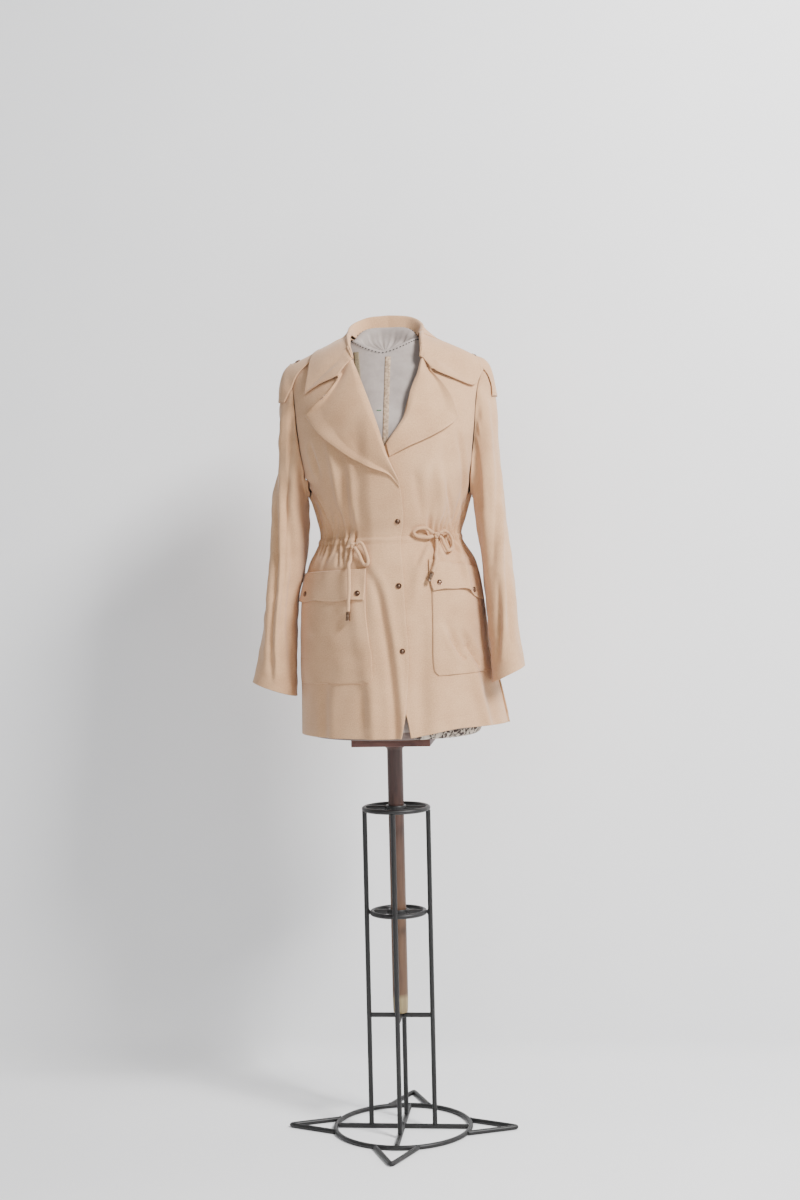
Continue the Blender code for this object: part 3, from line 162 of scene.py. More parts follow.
def twill(name, lit, shade):
    """Cotton twill: diffuse, with a faint nap and slanting ribs."""
    made, tree, shader = new_material(name, lit, 0.88)
    shader.inputs["Sheen Weight"].default_value = 0.22
    shader.inputs["Sheen Roughness"].default_value = 0.6
    shader.inputs["Specular IOR Level"].default_value = 0.25
    along = add_node(tree, "ShaderNodeUVMap", uv_map="cloth").outputs["UV"]
    place = add_node(tree, "ShaderNodeTexCoord").outputs["Object"]
    slub = add_node(tree, "ShaderNodeTexNoise", {"Vector": along, "Scale": 420.0, "Detail": 3.0})
    wash = add_node(tree, "ShaderNodeTexNoise", {"Vector": place, "Scale": 9.0, "Detail": 4.0, "Roughness": 0.6})
    both = add_node(tree, "ShaderNodeMath", {0: slub.outputs["Fac"], 1: wash.outputs["Fac"]}, operation="ADD")
    share = stretched(tree, both.outputs["Value"], 0.72, 1.28)
    tree.links.new(blended(tree, share, shade, lit), shader.inputs["Base Color"])
    slant = add_node(tree, "ShaderNodeMapping", {"Vector": along, "Rotation": (0.0, 0.0, math.radians(27.0))})
    ribs = add_node(tree, "ShaderNodeTexWave", {"Vector": slant.outputs["Vector"], "Scale": 0.314 / RIB_PITCH,
                                                "Distortion": 0.8, "Detail": 1.0, "Detail Scale": 2.0})
    weave = add_node(tree, "ShaderNodeBump", {"Height": ribs.outputs["Fac"], "Strength": 0.22, "Distance": 0.0004})
    uneven = add_node(tree, "ShaderNodeBump", {"Height": slub.outputs["Fac"], "Strength": 0.25, "Distance": 0.0006,
                                               "Normal": weave.outputs["Normal"]})
    tree.links.new(uneven.outputs["Normal"], shader.inputs["Normal"])
    return made


def unit(vectors):
    return vectors / np.maximum(np.linalg.norm(vectors, axis=-1, keepdims=True), 1e-9)


def lengths(points):
    """How far along a line each of its points lies."""
    return np.concatenate([[0.0], np.cumsum(np.linalg.norm(np.diff(points, axis=0), axis=1))])


def read_at(want, run, rows):
    """Points or normals at the wanted lengths along a line."""
    return np.stack([np.interp(want, run, rows[:, k]) for k in range(3)], axis=-1)


def hermite(t, a, slope_a, b, slope_b):
    """A smooth step from a to b with given slopes at its ends."""
    return ((2 * t**3 - 3 * t**2 + 1) * a + (t**3 - 2 * t**2 + t) * slope_a
            + (3 * t**2 - 2 * t**3) * b + (t**3 - t**2) * slope_b)


def grid_faces(rows, columns, wrap):
    return [(i * columns + j, i * columns + (j + 1) % columns, (i + 1) * columns + (j + 1) % columns,
             (i + 1) * columns + j) for i in range(rows - 1) for j in range(columns if wrap else columns - 1)]


def grid_mesh(name, grid, finish, wrap=False, caps=False):
    """A surface through a grid of points, with its UV map "cloth" in metres along and across."""
    rows, columns = grid.shape[:2]
    faces = grid_faces(rows, columns, wrap)
    if caps:
        faces += [tuple(reversed(range(columns))), tuple(range((rows - 1) * columns, rows * columns))]
    made = mesh_object(name, grid.reshape(-1, 3), faces, finish)
    side = np.linalg.norm(np.diff(grid, axis=1), axis=2)
    rise = np.linalg.norm(np.diff(grid, axis=0), axis=2)
    u = np.concatenate([np.zeros((rows, 1)), np.cumsum(side, axis=1)], axis=1)
    v = np.concatenate([np.zeros((1, columns)), np.cumsum(rise, axis=0)], axis=0)
    flat = np.stack([u, v], axis=2).reshape(-1, 2)
    layer = made.data.uv_layers.new(name="cloth")
    corners = np.empty(len(made.data.loops), dtype=np.int32)
    made.data.loops.foreach_get("vertex_index", corners)
    layer.data.foreach_set("uv", flat[corners].ravel())
    return made


def curve_through(points, between):
    """Points along a smooth curve through the given ones."""
    points = np.asarray(points, dtype=float)
    before = np.concatenate([points[:1], points[:-1]])
    after = np.concatenate([points[1:], points[-1:]])
    slope = (after - before) / 2.0
    made = [hermite(t, points[i], slope[i], points[i + 1], slope[i + 1])
            for i in range(len(points) - 1) for t in np.arange(between) / between]
    return np.array(made + [points[-1]])


def sweep(name, points, wide, thick, finish, closed=False, sides=12, facing=(0.0, -1.0, 0.0), seam=0.0):
    """A tube along points: wide and thick are its half sizes across and along the facing direction."""
    points = np.asarray(points, dtype=float)
    if closed:
        along = unit(np.roll(points, -1, axis=0) - np.roll(points, 1, axis=0))
    else:
        along = unit(np.gradient(points, axis=0))
    across = unit(np.cross(along, np.asarray(facing)))
    out = np.cross(across, along)
    turn = 2.0 * math.pi * (np.arange(sides) + 0.5) / sides
    swollen = 1.0 + seam * np.exp(-(np.minimum(turn, 2.0 * math.pi - turn) / 0.5) ** 2)
    grid = (points[:, None] + across[:, None] * (wide * np.cos(turn) * swollen)[:, None]
            + out[:, None] * (thick * np.sin(turn))[:, None])
    if closed:
        grid = np.concatenate([grid, grid[:1]])
    return grid_mesh(name, grid, finish, wrap=True, caps=not closed)


def lathe(name, profile, place, axis, finish, sides=32):
    """A turned piece: profile rows are radius and height along the axis."""
    axis = Vector(axis).normalized()
    across = axis.orthogonal().normalized()
    other = axis.cross(across)
    turn = 2.0 * math.pi * np.arange(sides) / sides
    ring = np.cos(turn)[:, None] * np.array(across) + np.sin(turn)[:, None] * np.array(other)
    grid = np.array([np.array(place) + ring * max(r, 1e-5) + np.array(axis) * h for r, h in profile])
    made = grid_mesh(name, grid, finish, wrap=True, caps=True)
    made.data.set_sharp_from_angle(angle=math.radians(40))
    return made


def metal(name, light, dark, roughness):
    """Aged plated metal: bright where it is rubbed, brown in its hollows."""
    made, tree, shader = new_material(name, light, roughness, 1.0)
    place = add_node(tree, "ShaderNodeTexCoord").outputs["Object"]
    stain = add_node(tree, "ShaderNodeTexNoise", {"Vector": place, "Scale": 260.0, "Detail": 4.0})
    share = stretched(tree, stain.outputs["Fac"], 0.35, 0.65)
    tree.links.new(blended(tree, share, dark, light), shader.inputs["Base Color"])
    rough = add_node(tree, "ShaderNodeMapRange", {"Value": stain.outputs["Fac"], "To Min": roughness + 0.15,
                                                  "To Max": roughness - 0.08})
    tree.links.new(rough.outputs["Result"], shader.inputs["Roughness"])
    return made


tip_brass = metal("antique brass barrel", "#9C8470", "#5F4837", 0.34)
SINGLE_CLOTH, DOUBLE_CLOTH = 0.0013, 0.0018

# The body of the jacket is three panels, right front, left front and back, cut in one from shoulder to hem.
# A cord in a stitched channel draws them in at the waist, and long soft folds run from it up and down.
NECK_HALF, NECK_Z, SHOULDER_FALL, DOME, UNDERARM = 0.066, 1.548, 0.42, 1.300, 1.245
# Half widths and depths of the outer surface by height
BODY = (
    ("z", "right", "left", "front", "back"),
    (0.780, 0.181, 0.226, 0.150, 0.152),
    (0.870, 0.181, 0.208, 0.149, 0.148),
    (0.950, 0.180, 0.191, 0.147, 0.142),
    (1.040, 0.176, 0.181, 0.142, 0.132),
    (1.110, 0.160, 0.167, 0.130, 0.116),
    (1.164, 0.136, 0.140, 0.112, 0.098),
    (1.200, 0.143, 0.150, 0.122, 0.102),
    (1.245, 0.156, 0.163, 0.134, 0.110),
    (1.300, 0.174, 0.178, 0.141, 0.116),
    (1.380, 0.190, 0.192, 0.139, 0.118),
    (1.450, 0.200, 0.201, 0.136, 0.114),
    (1.570, 0.206, 0.206, 0.132, 0.110),
)
# Front edge and roll line of each front, by height
EDGES = (
    ("z", "over", "under"),
    (0.780, 0.029, 0.047),
    (0.820, 0.037, 0.040),
    (0.870, 0.042, 0.014),
    (0.930, 0.045, -0.010),
    (1.005, 0.041, -0.015),
    (1.090, 0.037, -0.015),
    (1.150, 0.032, -0.015),
    (1.200, 0.038, -0.015),
    (1.257, 0.035, -0.015),
    (1.305, 0.015, -0.004),
    (1.347, 0.003, 0.020),
    (1.381, -0.008, 0.043),
    (1.422, -0.023, 0.054),
    (1.467, -0.041, 0.069),
    (1.500, -0.055, 0.074),
    (1.532, -0.063, 0.070),
    (1.552, -0.066, 0.066),
)
# Degrees from the front middle to the side seam and armhole
ARMHOLE = (
    ("z", "front", "back"),
    (0.700, 78.0, 78.0),
    (1.240, 78.0, 78.0),
    (1.252, 75.0, 88.0),
    (1.270, 71.0, 99.0),
    (1.320, 66.0, 109.0),
    (1.380, 64.0, 114.0),
    (1.430, 62.5, 116.0),
    (1.500, 68.0, 112.0),
    (1.570, 68.0, 112.0),
)


def look(table, name, at, corner=None):
    """Read one column of a table at heights or steps, along a smooth curve.

    A corner is a row where the curve turns sharply.
    """
    if corner is not None:
        below = look(table[:corner + 2], name, at)
        return np.where(at < table[corner + 1][0], below, look(table[:1] + table[corner + 1:], name, at))
    keys = np.array([row[0] for row in table[1:]])
    values = np.array([row[table[0].index(name)] for row in table[1:]])
    rate = np.diff(values) / np.diff(keys)
    before, after = np.append(rate[:1], rate), np.append(rate, rate[-1:])
    total = np.where(before * after > 0.0, before + after, 1.0)
    slope = np.where(before * after > 0.0, 2.0 * before * after / total, 0.0)
    at = np.clip(at, keys[0], keys[-1])
    i = np.clip(np.searchsorted(keys, at, side="right") - 1, 0, len(rate) - 1)
    span = keys[i + 1] - keys[i]
    t = (at - keys[i]) / span
    return hermite(t, values[i], span * slope[i], values[i + 1], span * slope[i + 1])


def ease(low, high, value):
    t = np.clip((value - low) / (high - low), 0.0, 1.0)
    return t * t * (3.0 - 2.0 * t)


def mix(a, b, t):
    return a + (b - a) * t


def half_width(x, z):
    return np.where(x > 0.0, look(BODY, "left", z), look(BODY, "right", z))


def ridge(x):
    """Height of the shoulder line at this distance from the middle."""
    out = np.abs(x) - NECK_HALF
    return np.where(out < 0.0, NECK_Z + 0.012 * (1.0 - (x / NECK_HALF) ** 2), NECK_Z - SHOULDER_FALL * out)


def fullness(x, z, face):
    share = np.minimum(np.abs(x / half_width(x, z)), 0.99999)
    return np.where(face < 0, look(BODY, "front", z), look(BODY, "back", z)) * (1.0 - share ** 2.2) ** 0.6


def level(x, y, z, face):
    rise = np.maximum(0.0, (z - DOME) / (ridge(x) - DOME))
    return (np.abs(y) / fullness(x, z, face)) ** 2 + rise ** 2.2


def skin(x, z, face, lift=0.0):
    """Points on the plain body, raised along its own normal."""
    rise = np.maximum(0.0, (z - DOME) / (ridge(x) - DOME))
    y = face * np.maximum(fullness(x, z, face) * np.sqrt(np.maximum(0.0, 1.0 - rise ** 2.2)), 0.0006)
    step = 2e-5
    here = level(x, y, z, face)
    slope = unit(np.stack([level(x + step, y, z, face) - here, (level(x, y + face * step, z, face) - here) * face,
                           level(x, y, z + step, face) - here], axis=-1))
    return np.stack([x, y, z], axis=-1) + slope * np.asarray(lift)[..., None]


def round_body(x, z):
    """Distance round the body from its middle, so that folds keep their width towards the sides."""
    wide = half_width(x, z)
    return wide * np.arcsin(np.clip(x / wide, -1.0, 1.0))


def crease(s, z, width, rise, path, open_low=False, side=0.0):
    """One fold along a path: a rounded crest (or hollow) with the opposite shape on one side of it."""
    nearest = np.full(s.shape, 9.0)
    along, hand = np.zeros(s.shape), np.zeros(s.shape)
    start = 0.0
    for a, b in zip(path, path[1:]):
        run = b - a
        length = math.hypot(*run)
        t = np.clip(((s - a[0]) * run[0] + (z - a[1]) * run[1]) / length ** 2, 0.0, 1.0)
        ds, dz = s - a[0] - run[0] * t, z - a[1] - run[1] * t
        apart = np.hypot(ds, dz)
        closer = apart < nearest
        nearest = np.where(closer, apart, nearest)
        along = np.where(closer, start + length * t, along)
        hand = np.where(closer, np.sign(run[0] * dz - run[1] * ds), hand)
        start += length
    share = along / start
    end = np.sin(math.pi * np.clip(share, 0.0, 0.5 if open_low else 1.0)) ** 0.6
    shape = np.exp(-(nearest / width) ** 2)
    shape -= abs(side) * np.exp(-((nearest * hand * np.sign(side) - 1.8 * width) / (1.1 * width)) ** 2)
    return rise * end * shape


def ripple(points, seed, size, height):
    """Small unevenness of cloth that has been worn and packed: a sum of slow waves."""
    chance = np.random.default_rng(seed)
    out = np.zeros(points.shape[:-1])
    for _ in range(14):
        way = unit(chance.normal(size=3) * np.array((1.0, 1.0, 0.45)))
        pace = 2.0 * math.pi / (size * chance.uniform(0.6, 1.6))
        out += np.sin(points @ way * pace + chance.uniform(0.0, 6.3))
    return out * height / 3.7


# Folds: 0 front or 1 back, half width and rise in mm, the opposite shape beside it (+ to the path's left),
# then the path's points in x and z, in mm
FOLDS = (
    (0, 10, 4.2, 0.5, (-105, 1345), (-90, 1277), (-83, 1162)),
    (0, 9, 3.0, -0.3, (-56, 1300), (-57, 1230), (-52, 1170)),
    (0, 5, -4.4, 0.5, (-152, 1266), (-123, 1216), (-107, 1170), (-112, 1156)),
    (0, 7, -3.6, -0.4, (-142, 1342), (-131, 1305), (-121, 1275)),
    (0, 5, -3.6, 0.6, (-176, 1280), (-158, 1270), (-137, 1261)),
    (0, 5, -2.8, -0.5, (-168, 1258), (-150, 1247), (-136, 1236)),
    (0, 4, -3.2, 0.5, (-135, 1206), (-129, 1158)),
    (0, 4, -3.2, -0.5, (-94, 1204), (-93, 1158)),
    (0, 4, -4.0, 0.5, (-86, 1212), (-80, 1154), (-78, 1100)),
    (0, 4, -2.6, 0.4, (-58, 1214), (-62, 1159)),
    (0, 5, -2.6, 0.4, (-129, 1150), (-147, 1108)),
    (0, 4, -2.6, -0.4, (-108, 1152), (-112, 1128)),
    (0, 4, -2.8, 0.5, (-89, 1151), (-91, 1105)),
    (0, 8, -4.4, 0.75, (-37, 1106), (-12, 1060), (0, 997), (10, 922), (16, 854), (19, 782)),
    (0, 15, 3.0, 0.0, (-60, 1085), (-42, 960), (-24, 782)),
    (0, 13, -3.0, 0.5, (-118, 890), (-122, 850), (-124, 780)),
    (0, 11, -2.4, 0.4, (-41, 890), (-42, 800)),
    (0, 15, 3.2, 0.3, (112, 1352), (90, 1300), (72, 1262)),
    (0, 11, 3.6, 0.3, (104, 1310), (110, 1240), (112, 1172)),
    (0, 10, -2.6, 0.3, (62, 1286), (70, 1230), (78, 1174)),
    (0, 7, -3.2, 0.5, (141, 1362), (151, 1276), (143, 1180)),
    (0, 5, -3.0, -0.5, (120, 1262), (126, 1215), (128, 1166)),
    (0, 5, -2.4, 0.4, (80, 1150), (60, 1105)),
    (0, 8, 4.4, -0.5, (129, 1163), (142, 1121), (154, 1052)),
    (0, 12, 3.0, 0.3, (80, 1140), (66, 1090), (54, 1020)),
    (0, 8, -3.6, -0.6, (114, 1000), (128, 962), (146, 926)),
    (0, 8, -3.4, 0.6, (136, 984), (152, 950), (172, 912)),
    (0, 15, 5.0, 0.3, (150, 950), (172, 860), (190, 782)),
    (0, 16, -3.6, 0.3, (76, 1010), (70, 900), (68, 782)),
    (1, 17, 5.2, 0.3, (-112, 1128), (-118, 960), (-126, 782)),
    (1, 16, -4.2, 0.4, (-47, 1140), (-50, 960), (-56, 790)),
    (1, 16, 4.8, -0.3, (20, 1128), (14, 960), (10, 782)),
    (1, 17, -4.2, 0.4, (86, 1138), (96, 960), (106, 782)),
    (1, 14, 5.2, 0.3, (141, 1110), (152, 950), (166, 782)),
    (1, 13, 3.8, 0.4, (-86, 1350), (-78, 1260), (-70, 1174)),
    (1, 13, -3.2, 0.4, (-2, 1330), (4, 1250), (8, 1178)),
    (1, 13, 3.8, -0.4, (82, 1340), (76, 1260), (70, 1174)),
    (1, 8, -3.0, 0.5, (-150, 1360), (-128, 1300), (-116, 1250)),
    (1, 8, -3.0, -0.5, (150, 1360), (128, 1300), (116, 1250)),
)
# Gathers: first and last, in degrees round from the middle of the front, how many, and how deep in mm
GATHERS = ((-78.0, -25.0, 10, 6.4), (38.0, 78.0, 8, 6.4), (106.0, 168.0, 10, 4.6), (192.0, 254.0, 10, 4.6))
# All folds are drawn fuller by one gain, and held between the deepest hollow and the highest crest
FOLD_GAIN, DEEPEST, HIGHEST = 1.5, -0.0060, 0.0100
CHANNEL_HALF = 0.0068
chance = np.random.default_rng(41)
tucks = []
for first, last, count, rise in GATHERS:
    for k in range(count + 1):
        tucks.append((mix(first, last, k / count) + chance.uniform(-1.3, 1.3), chance.uniform(-60.0, 60.0),
                      chance.uniform(0.85, 1.4), rise * chance.uniform(0.55, 1.1) / 1000.0,
                      chance.uniform(0.025, 0.075), chance.uniform(0.016, 0.045)))


def channel(turn):
    """Height of the middle of the drawcord channel: a little higher on the wearer's left."""
    return 1.1530 + 0.0065 * ease(0.0, 60.0, turn) * ease(200.0, 120.0, turn)


def relief(x, z, face, turn):
    """How far the cloth stands out from the plain body: folds, gathers and the drawcord channel."""
    s = round_body(x, z)
    out = np.zeros(s.shape)
    for back, width, rise, side, *line in FOLDS:
        path = curve_through(np.array(line) / 1000.0, 5)
        path[:, 0] = round_body(path[:, 0], path[:, 1])
        chosen = face > 0 if back else face < 0
        out += chosen * crease(s, z, width / 1000.0, rise / 1000.0, path, path[-1, 1] < 0.80, side)
    off = z - channel(turn)
    drawn = np.zeros(s.shape)
    for first, last, count, rise in GATHERS:
        drawn = np.maximum(drawn, ease(first - 4.0, first + 1.0, turn) * ease(last + 4.0, last - 1.0, turn))
    for middle, slant, width, rise, up, down in tucks:
        reach = np.where(off > 0.0, up, down)
        fade = np.exp(-(np.abs(off) / reach) ** 1.7)
        wide = width * (1.0 + np.abs(off) / 0.04)
        out -= rise * fade * np.exp(-((turn - middle - slant * off) / wide) ** 2)
    out += drawn * 0.0012 * np.exp(-(off / 0.022) ** 2)
    out += 0.0009 * np.exp(-(off / 0.0045) ** 2)
    out -= 0.0006 * np.exp(-((np.abs(off) - CHANNEL_HALF) / 0.0016) ** 2)
    return np.clip(out * FOLD_GAIN, DEEPEST, HIGHEST)


def overlap_lift(x, z):
    """The right front stands out where it laps over the left one."""
    return 0.0058 * ease(-0.046, -0.018, x) * ease(1.42, 1.34, z)


def hem(x):
    return 0.781 + 0.016 * ease(0.03, 0.15, x)


LOW_HEIGHTS = np.concatenate([np.linspace(0.780, 0.7845, 4)[:-1], np.linspace(0.7845, 1.100, 78)[:-1],
                              np.linspace(1.100, 1.215, 50)[:-1], np.linspace(1.215, 1.243, 8)])
HIGH_SHARES = 1.0 - (1.0 - np.linspace(0.0, 1.0, 72)[1:]) ** 2
FIRST_HIGH = len(LOW_HEIGHTS) - 1


def panel(piece, q, lift=0.0):
    """A body panel's outer points: q runs across from its front edge to its side, rows run up from the hem."""
    q = np.asarray(q)[None, :]

    def place(z):
        if piece == "back":
            end = look(ARMHOLE, "back", z) + np.where(z < UNDERARM, 0.1, 0.0)
            turn = mix(-360.0 + end, -end, q)
        else:
            side = -1.0 if piece == "front_right" else 1.0
            edge = look(EDGES, "over" if piece == "front_right" else "under", z)
            start = np.degrees(np.arcsin(edge / half_width(edge, z)))
            turn = mix(start, side * (look(ARMHOLE, "front", z) - 0.1), q)
        x = np.sin(np.radians(turn))
        return x * half_width(x, z), np.where(np.cos(np.radians(turn)) > 0.0, -1, 1), turn

    low = np.broadcast_to(LOW_HEIGHTS[:, None], (len(LOW_HEIGHTS), q.shape[1]))
    x, face, turn = place(low)
    low = low + (hem(x) - 0.780) * ease(1.0, 0.78, low)
    top = np.full(q.shape, NECK_Z)
    for _ in range(12):
        x_top = place(top)[0]
        top = ridge(x_top)
        if piece == "back":
            top = np.where(np.abs(x_top) < NECK_HALF, 1.535 + 0.013 * (x_top / NECK_HALF) ** 2, top)
    high = LOW_HEIGHTS[-1] + (top - LOW_HEIGHTS[-1]) * HIGH_SHARES[:, None]
    x_high, face_high, turn_high = place(high)
    x, face, turn = (np.concatenate(pair) for pair in ((x, x_high), (face, face_high), (turn, turn_high)))
    z = np.concatenate([low, high])
    turn = np.where(turn < -100.0, turn + 360.0, turn)
    lift = lift + relief(x, z, face, turn)
    if piece == "front_right":
        lift = lift + overlap_lift(x, z)
    return skin(x, z, face, lift)


def outward_normals(grid, centre, wrap=False):
    up = np.gradient(grid, axis=0)
    across = np.roll(grid, -1, axis=1) - np.roll(grid, 1, axis=1) if wrap else np.gradient(grid, axis=1)
    normals = unit(np.cross(across, up))
    away = (normals * (grid - np.asarray(centre))).sum()
    return normals if away > 0.0 else -normals


SHEETS, TREES = {}, {}


def cloth(name, node, grid, thick, centre=(0.0, 0.0, 1.2), wrap=False, uneven=0.0005):
    """A cloth wall under a grid of outer points: its inner side, a rolled rim, its cut and body."""
    grid = grid + outward_normals(grid, centre, wrap) * ripple(grid, len(name), 0.055, uneven)[..., None]
    normals = outward_normals(grid, centre, wrap)
    across = np.roll(grid, -1, axis=1) - grid if wrap else np.diff(grid, axis=1)
    flipped = (np.cross(across[:-1, :grid.shape[1] - 1], np.diff(grid, axis=0)[:, :-1])
               * normals[:-1, :-1]).sum() < 0.0
    outer = grid if not flipped else grid[:, ::-1]
    out = normals if not flipped else normals[:, ::-1]
    made = grid_mesh(name, outer, jacket_twill, wrap=wrap)
    thicken = made.modifiers.new("wall", "SOLIDIFY")
    thicken.thickness = thick
    thicken.offset = -1.0
    thicken.use_even_offset = False
    thicken.use_rim = True
    depsgraph = bpy.context.evaluated_depsgraph_get()
    whole = bpy.data.meshes.new_from_object(made.evaluated_get(depsgraph))
    made.modifiers.clear()
    made.data = whole
    SHEETS[name] = (grid, normals)
    TREES[name] = ([Vector(p) for p in grid.reshape(-1, 3)], grid_faces(*grid.shape[:2], wrap))
    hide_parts(node)
    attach(made, "form")
    return made


def tree_of(*names):
    points, faces = [], []
    for name in names:
        more, quads = TREES[name]
        faces += [[len(points) + k for k in quad] for quad in quads]
        points = points + more
    return BVHTree.FromPolygons(points, faces)


def settle(grid, tree, margin, centre=(0.0, 0.0, 1.40)):
    """Move a laid sheet's points out until they stand clear of what it lies on, and even out the moves."""
    centre = Vector(centre)
    for turn in range(5):
        moves = np.zeros(grid.shape)
        for index in np.ndindex(grid.shape[:2]):
            p = Vector(grid[index])
            near, normal, _, gap = tree.find_nearest(p, 0.03)
            if near is None:
                continue
            if normal.dot(near - centre) < 0.0:
                normal = -normal
            height = (p - near).dot(normal)
            if height < margin:
                moves[index] = normal * (margin - height)
        if turn < 3:
            soft = moves.copy()
            soft[1:] += moves[:-1]
            soft[:-1] += moves[1:]
            soft[:, 1:] += moves[:, :-1]
            soft[:, :-1] += moves[:, 1:]
            moves = np.where(np.linalg.norm(moves, axis=2, keepdims=True) > 0.0, moves, soft / 4.0)
        grid = grid + moves
    return grid


jacket_twill = twill("sand cotton twill", "#D0A67E", "#B48A64")
Q_FRONT = np.concatenate([np.linspace(0.0, 0.04, 7)[:-1], np.linspace(0.04, 1.0, 96)])
Q_BACK = np.linspace(0.0, 1.0, 171)
for name, q in (("front_right", Q_FRONT), ("front_left", Q_FRONT), ("back", Q_BACK)):
    cloth(name + "_panel", name, panel(name, q), SINGLE_CLOTH)

# The sleeves are one piece each, set into the armholes and hanging free with a plain turned hem.
# Long folds fall from the shoulder to the cuff, and the left sleeve swings a little forward.
# Outer and inner edges seen from the front, then middle and half depth, from the armhole to the cuff
SLEEVE_COLUMNS = ("step", "out_x", "out_z", "in_x", "in_z", "mid_y", "half_y")
SLEEVES = {
    "sleeve_right": (
        SLEEVE_COLUMNS,
        (0.0, 0.2130, 1.290, 0.1590, 1.222, 0.002, 0.066),
        (1.0, 0.2245, 1.219, 0.1600, 1.178, -0.002, 0.067),
        (2.0, 0.2300, 1.121, 0.1690, 1.108, -0.006, 0.064),
        (3.0, 0.2410, 1.046, 0.1840, 1.033, -0.011, 0.060),
        (4.0, 0.2530, 0.962, 0.1875, 0.945, -0.016, 0.053),
        (5.0, 0.2710, 0.884, 0.1885, 0.855, -0.020, 0.043),
    ),
    "sleeve_left": (
        SLEEVE_COLUMNS,
        (0.0, 0.2170, 1.290, 0.1670, 1.225, 0.002, 0.066),
        (1.0, 0.2240, 1.215, 0.1700, 1.182, -0.004, 0.066),
        (2.0, 0.2340, 1.110, 0.1820, 1.100, -0.013, 0.063),
        (3.0, 0.2410, 1.041, 0.1890, 1.030, -0.024, 0.059),
        (4.0, 0.2490, 0.965, 0.1950, 0.950, -0.042, 0.050),
        (5.0, 0.2590, 0.909, 0.1980, 0.878, -0.060, 0.041),
    ),
}
ROUND, SLEEVE_FOLD_GAIN = 104, 1.25
SLEEVE_STEPS = np.concatenate([np.linspace(0.0, 4.8, 118)[:-1], np.linspace(4.8, 5.0, 9)])
# Front folds of each sleeve: half width and rise in mm, the opposite shape, then x and z in mm
SLEEVE_FOLDS = {
    "sleeve_right": (
        (8, 5.5, 0.4, (-218, 1380), (-216, 1210), (-226, 1040), (-243, 900)),
        (5, -5.5, 0.6, (-209, 1260), (-210, 1120), (-225, 974), (-229, 886)),
        (5, 4.0, 0.0, (-200, 1240), (-203, 1110), (-216, 985), (-222, 880)),
        (5, -5.0, -0.6, (-196, 1300), (-196, 1150), (-208, 1010), (-216, 930)),
        (5, -5.2, 0.6, (-184, 1220), (-184, 1110), (-195, 996), (-192, 876)),
        (6, -5.0, 0.5, (-181, 1420), (-183, 1330), (-190, 1240), (-187, 1120)),
        (5, 3.6, 0.0, (-196, 1425), (-201, 1340), (-203, 1240)),
        (5, -3.6, 0.5, (-208, 1400), (-212, 1320), (-209, 1250)),
    ),
    "sleeve_left": (
        (9, 5.0, -0.4, (200, 1420), (209, 1300), (214, 1150), (220, 980)),
        (5, -5.5, 0.6, (200, 1443), (209, 1350), (211, 1250), (206, 1100)),
        (6, -5.0, -0.6, (184, 1420), (171, 1340), (177, 1265), (186, 1200)),
        (5, -5.2, 0.6, (213, 1085), (213, 1000), (209, 915)),
        (8, 4.6, 0.0, (190, 1250), (195, 1120), (200, 960)),
        (5, -4.6, 0.5, (222, 1240), (227, 1100), (234, 950)),
        (4, -3.6, 0.5, (216, 1400), (220, 1300), (219, 1200)),
    ),
}
# Back folds of both sleeves: degrees round, first and last step, width in degrees, rise in mm
BACK_SLEEVE_FOLDS = ((60.0, 0.8, 4.6, 15.0, -4.0), (88.0, 0.6, 4.8, 11.0, 3.4), (112.0, 1.2, 5.1, 13.0, -3.6),
                     (140.0, 0.4, 3.6, 12.0, 3.0))


def armhole(side, count):
    """Points of the armhole, from the shoulder down the front, under the arm and up the back."""
    front = "front_right" if side < 0 else "front_left"
    heights = np.concatenate([LOW_HEIGHTS, UNDERARM + HIGH_SHARES])
    past_underarm = (np.arange(len(heights)) - FIRST_HIGH) / 72.0
    laps = 0.0016 * (1.0 + 1.4 * ease(0.06, 0.0, past_underarm))[:, None]
    rise = panel(front, [1.0], laps)[FIRST_HIGH:, 0]
    fall = panel("back", [1.0 if side < 0 else 0.0], laps)[FIRST_HIGH:, 0]
    line = np.concatenate([rise[::-1], fall[1:]])
    run = lengths(line)
    return read_at(run[-1] * np.arange(count) / count, run, line)


def sleeve_rings(name, side, steps):
    """Rings of a sleeve; each starts outside, then goes to the front, inside and back."""
    table = SLEEVES[name]
    out, inn = (np.stack([look(table, word + "_x", steps), 0.0 * steps, look(table, word + "_z", steps)], axis=1)
                for word in ("out", "in"))
    middle, half = (out + inn) / 2.0, (out - inn) / 2.0
    mid_y, half_y = look(table, "mid_y", steps)[:, None], look(table, "half_y", steps)[:, None]
    turn = (2.0 * math.pi * np.arange(ROUND) / ROUND)[None, :]
    points = middle[:, None] + half[:, None] * np.cos(turn)[..., None]
    points[..., 1] = mid_y - half_y * np.sin(turn)
    away = unit(np.stack([half[:, :1] * np.cos(turn), -half_y * np.sin(turn), 0.0 * turn * mid_y], axis=2))
    around = np.degrees(np.where(turn <= math.pi, -turn, 2.0 * math.pi - turn))
    out_by = np.zeros(around.shape[1:]) + np.zeros((len(steps), 1))
    for middle_turn, first, last, width, rise in BACK_SLEEVE_FOLDS:
        share = np.clip((steps[:, None] - first) / (last - first), 0.0, 1.0)
        across = np.exp(-((around - middle_turn) / width) ** 2)
        out_by = out_by + rise / 1000.0 * across * np.sin(math.pi * share) ** 0.6
    points = points + away * out_by[..., None]
    points[..., 0] *= side
    return points


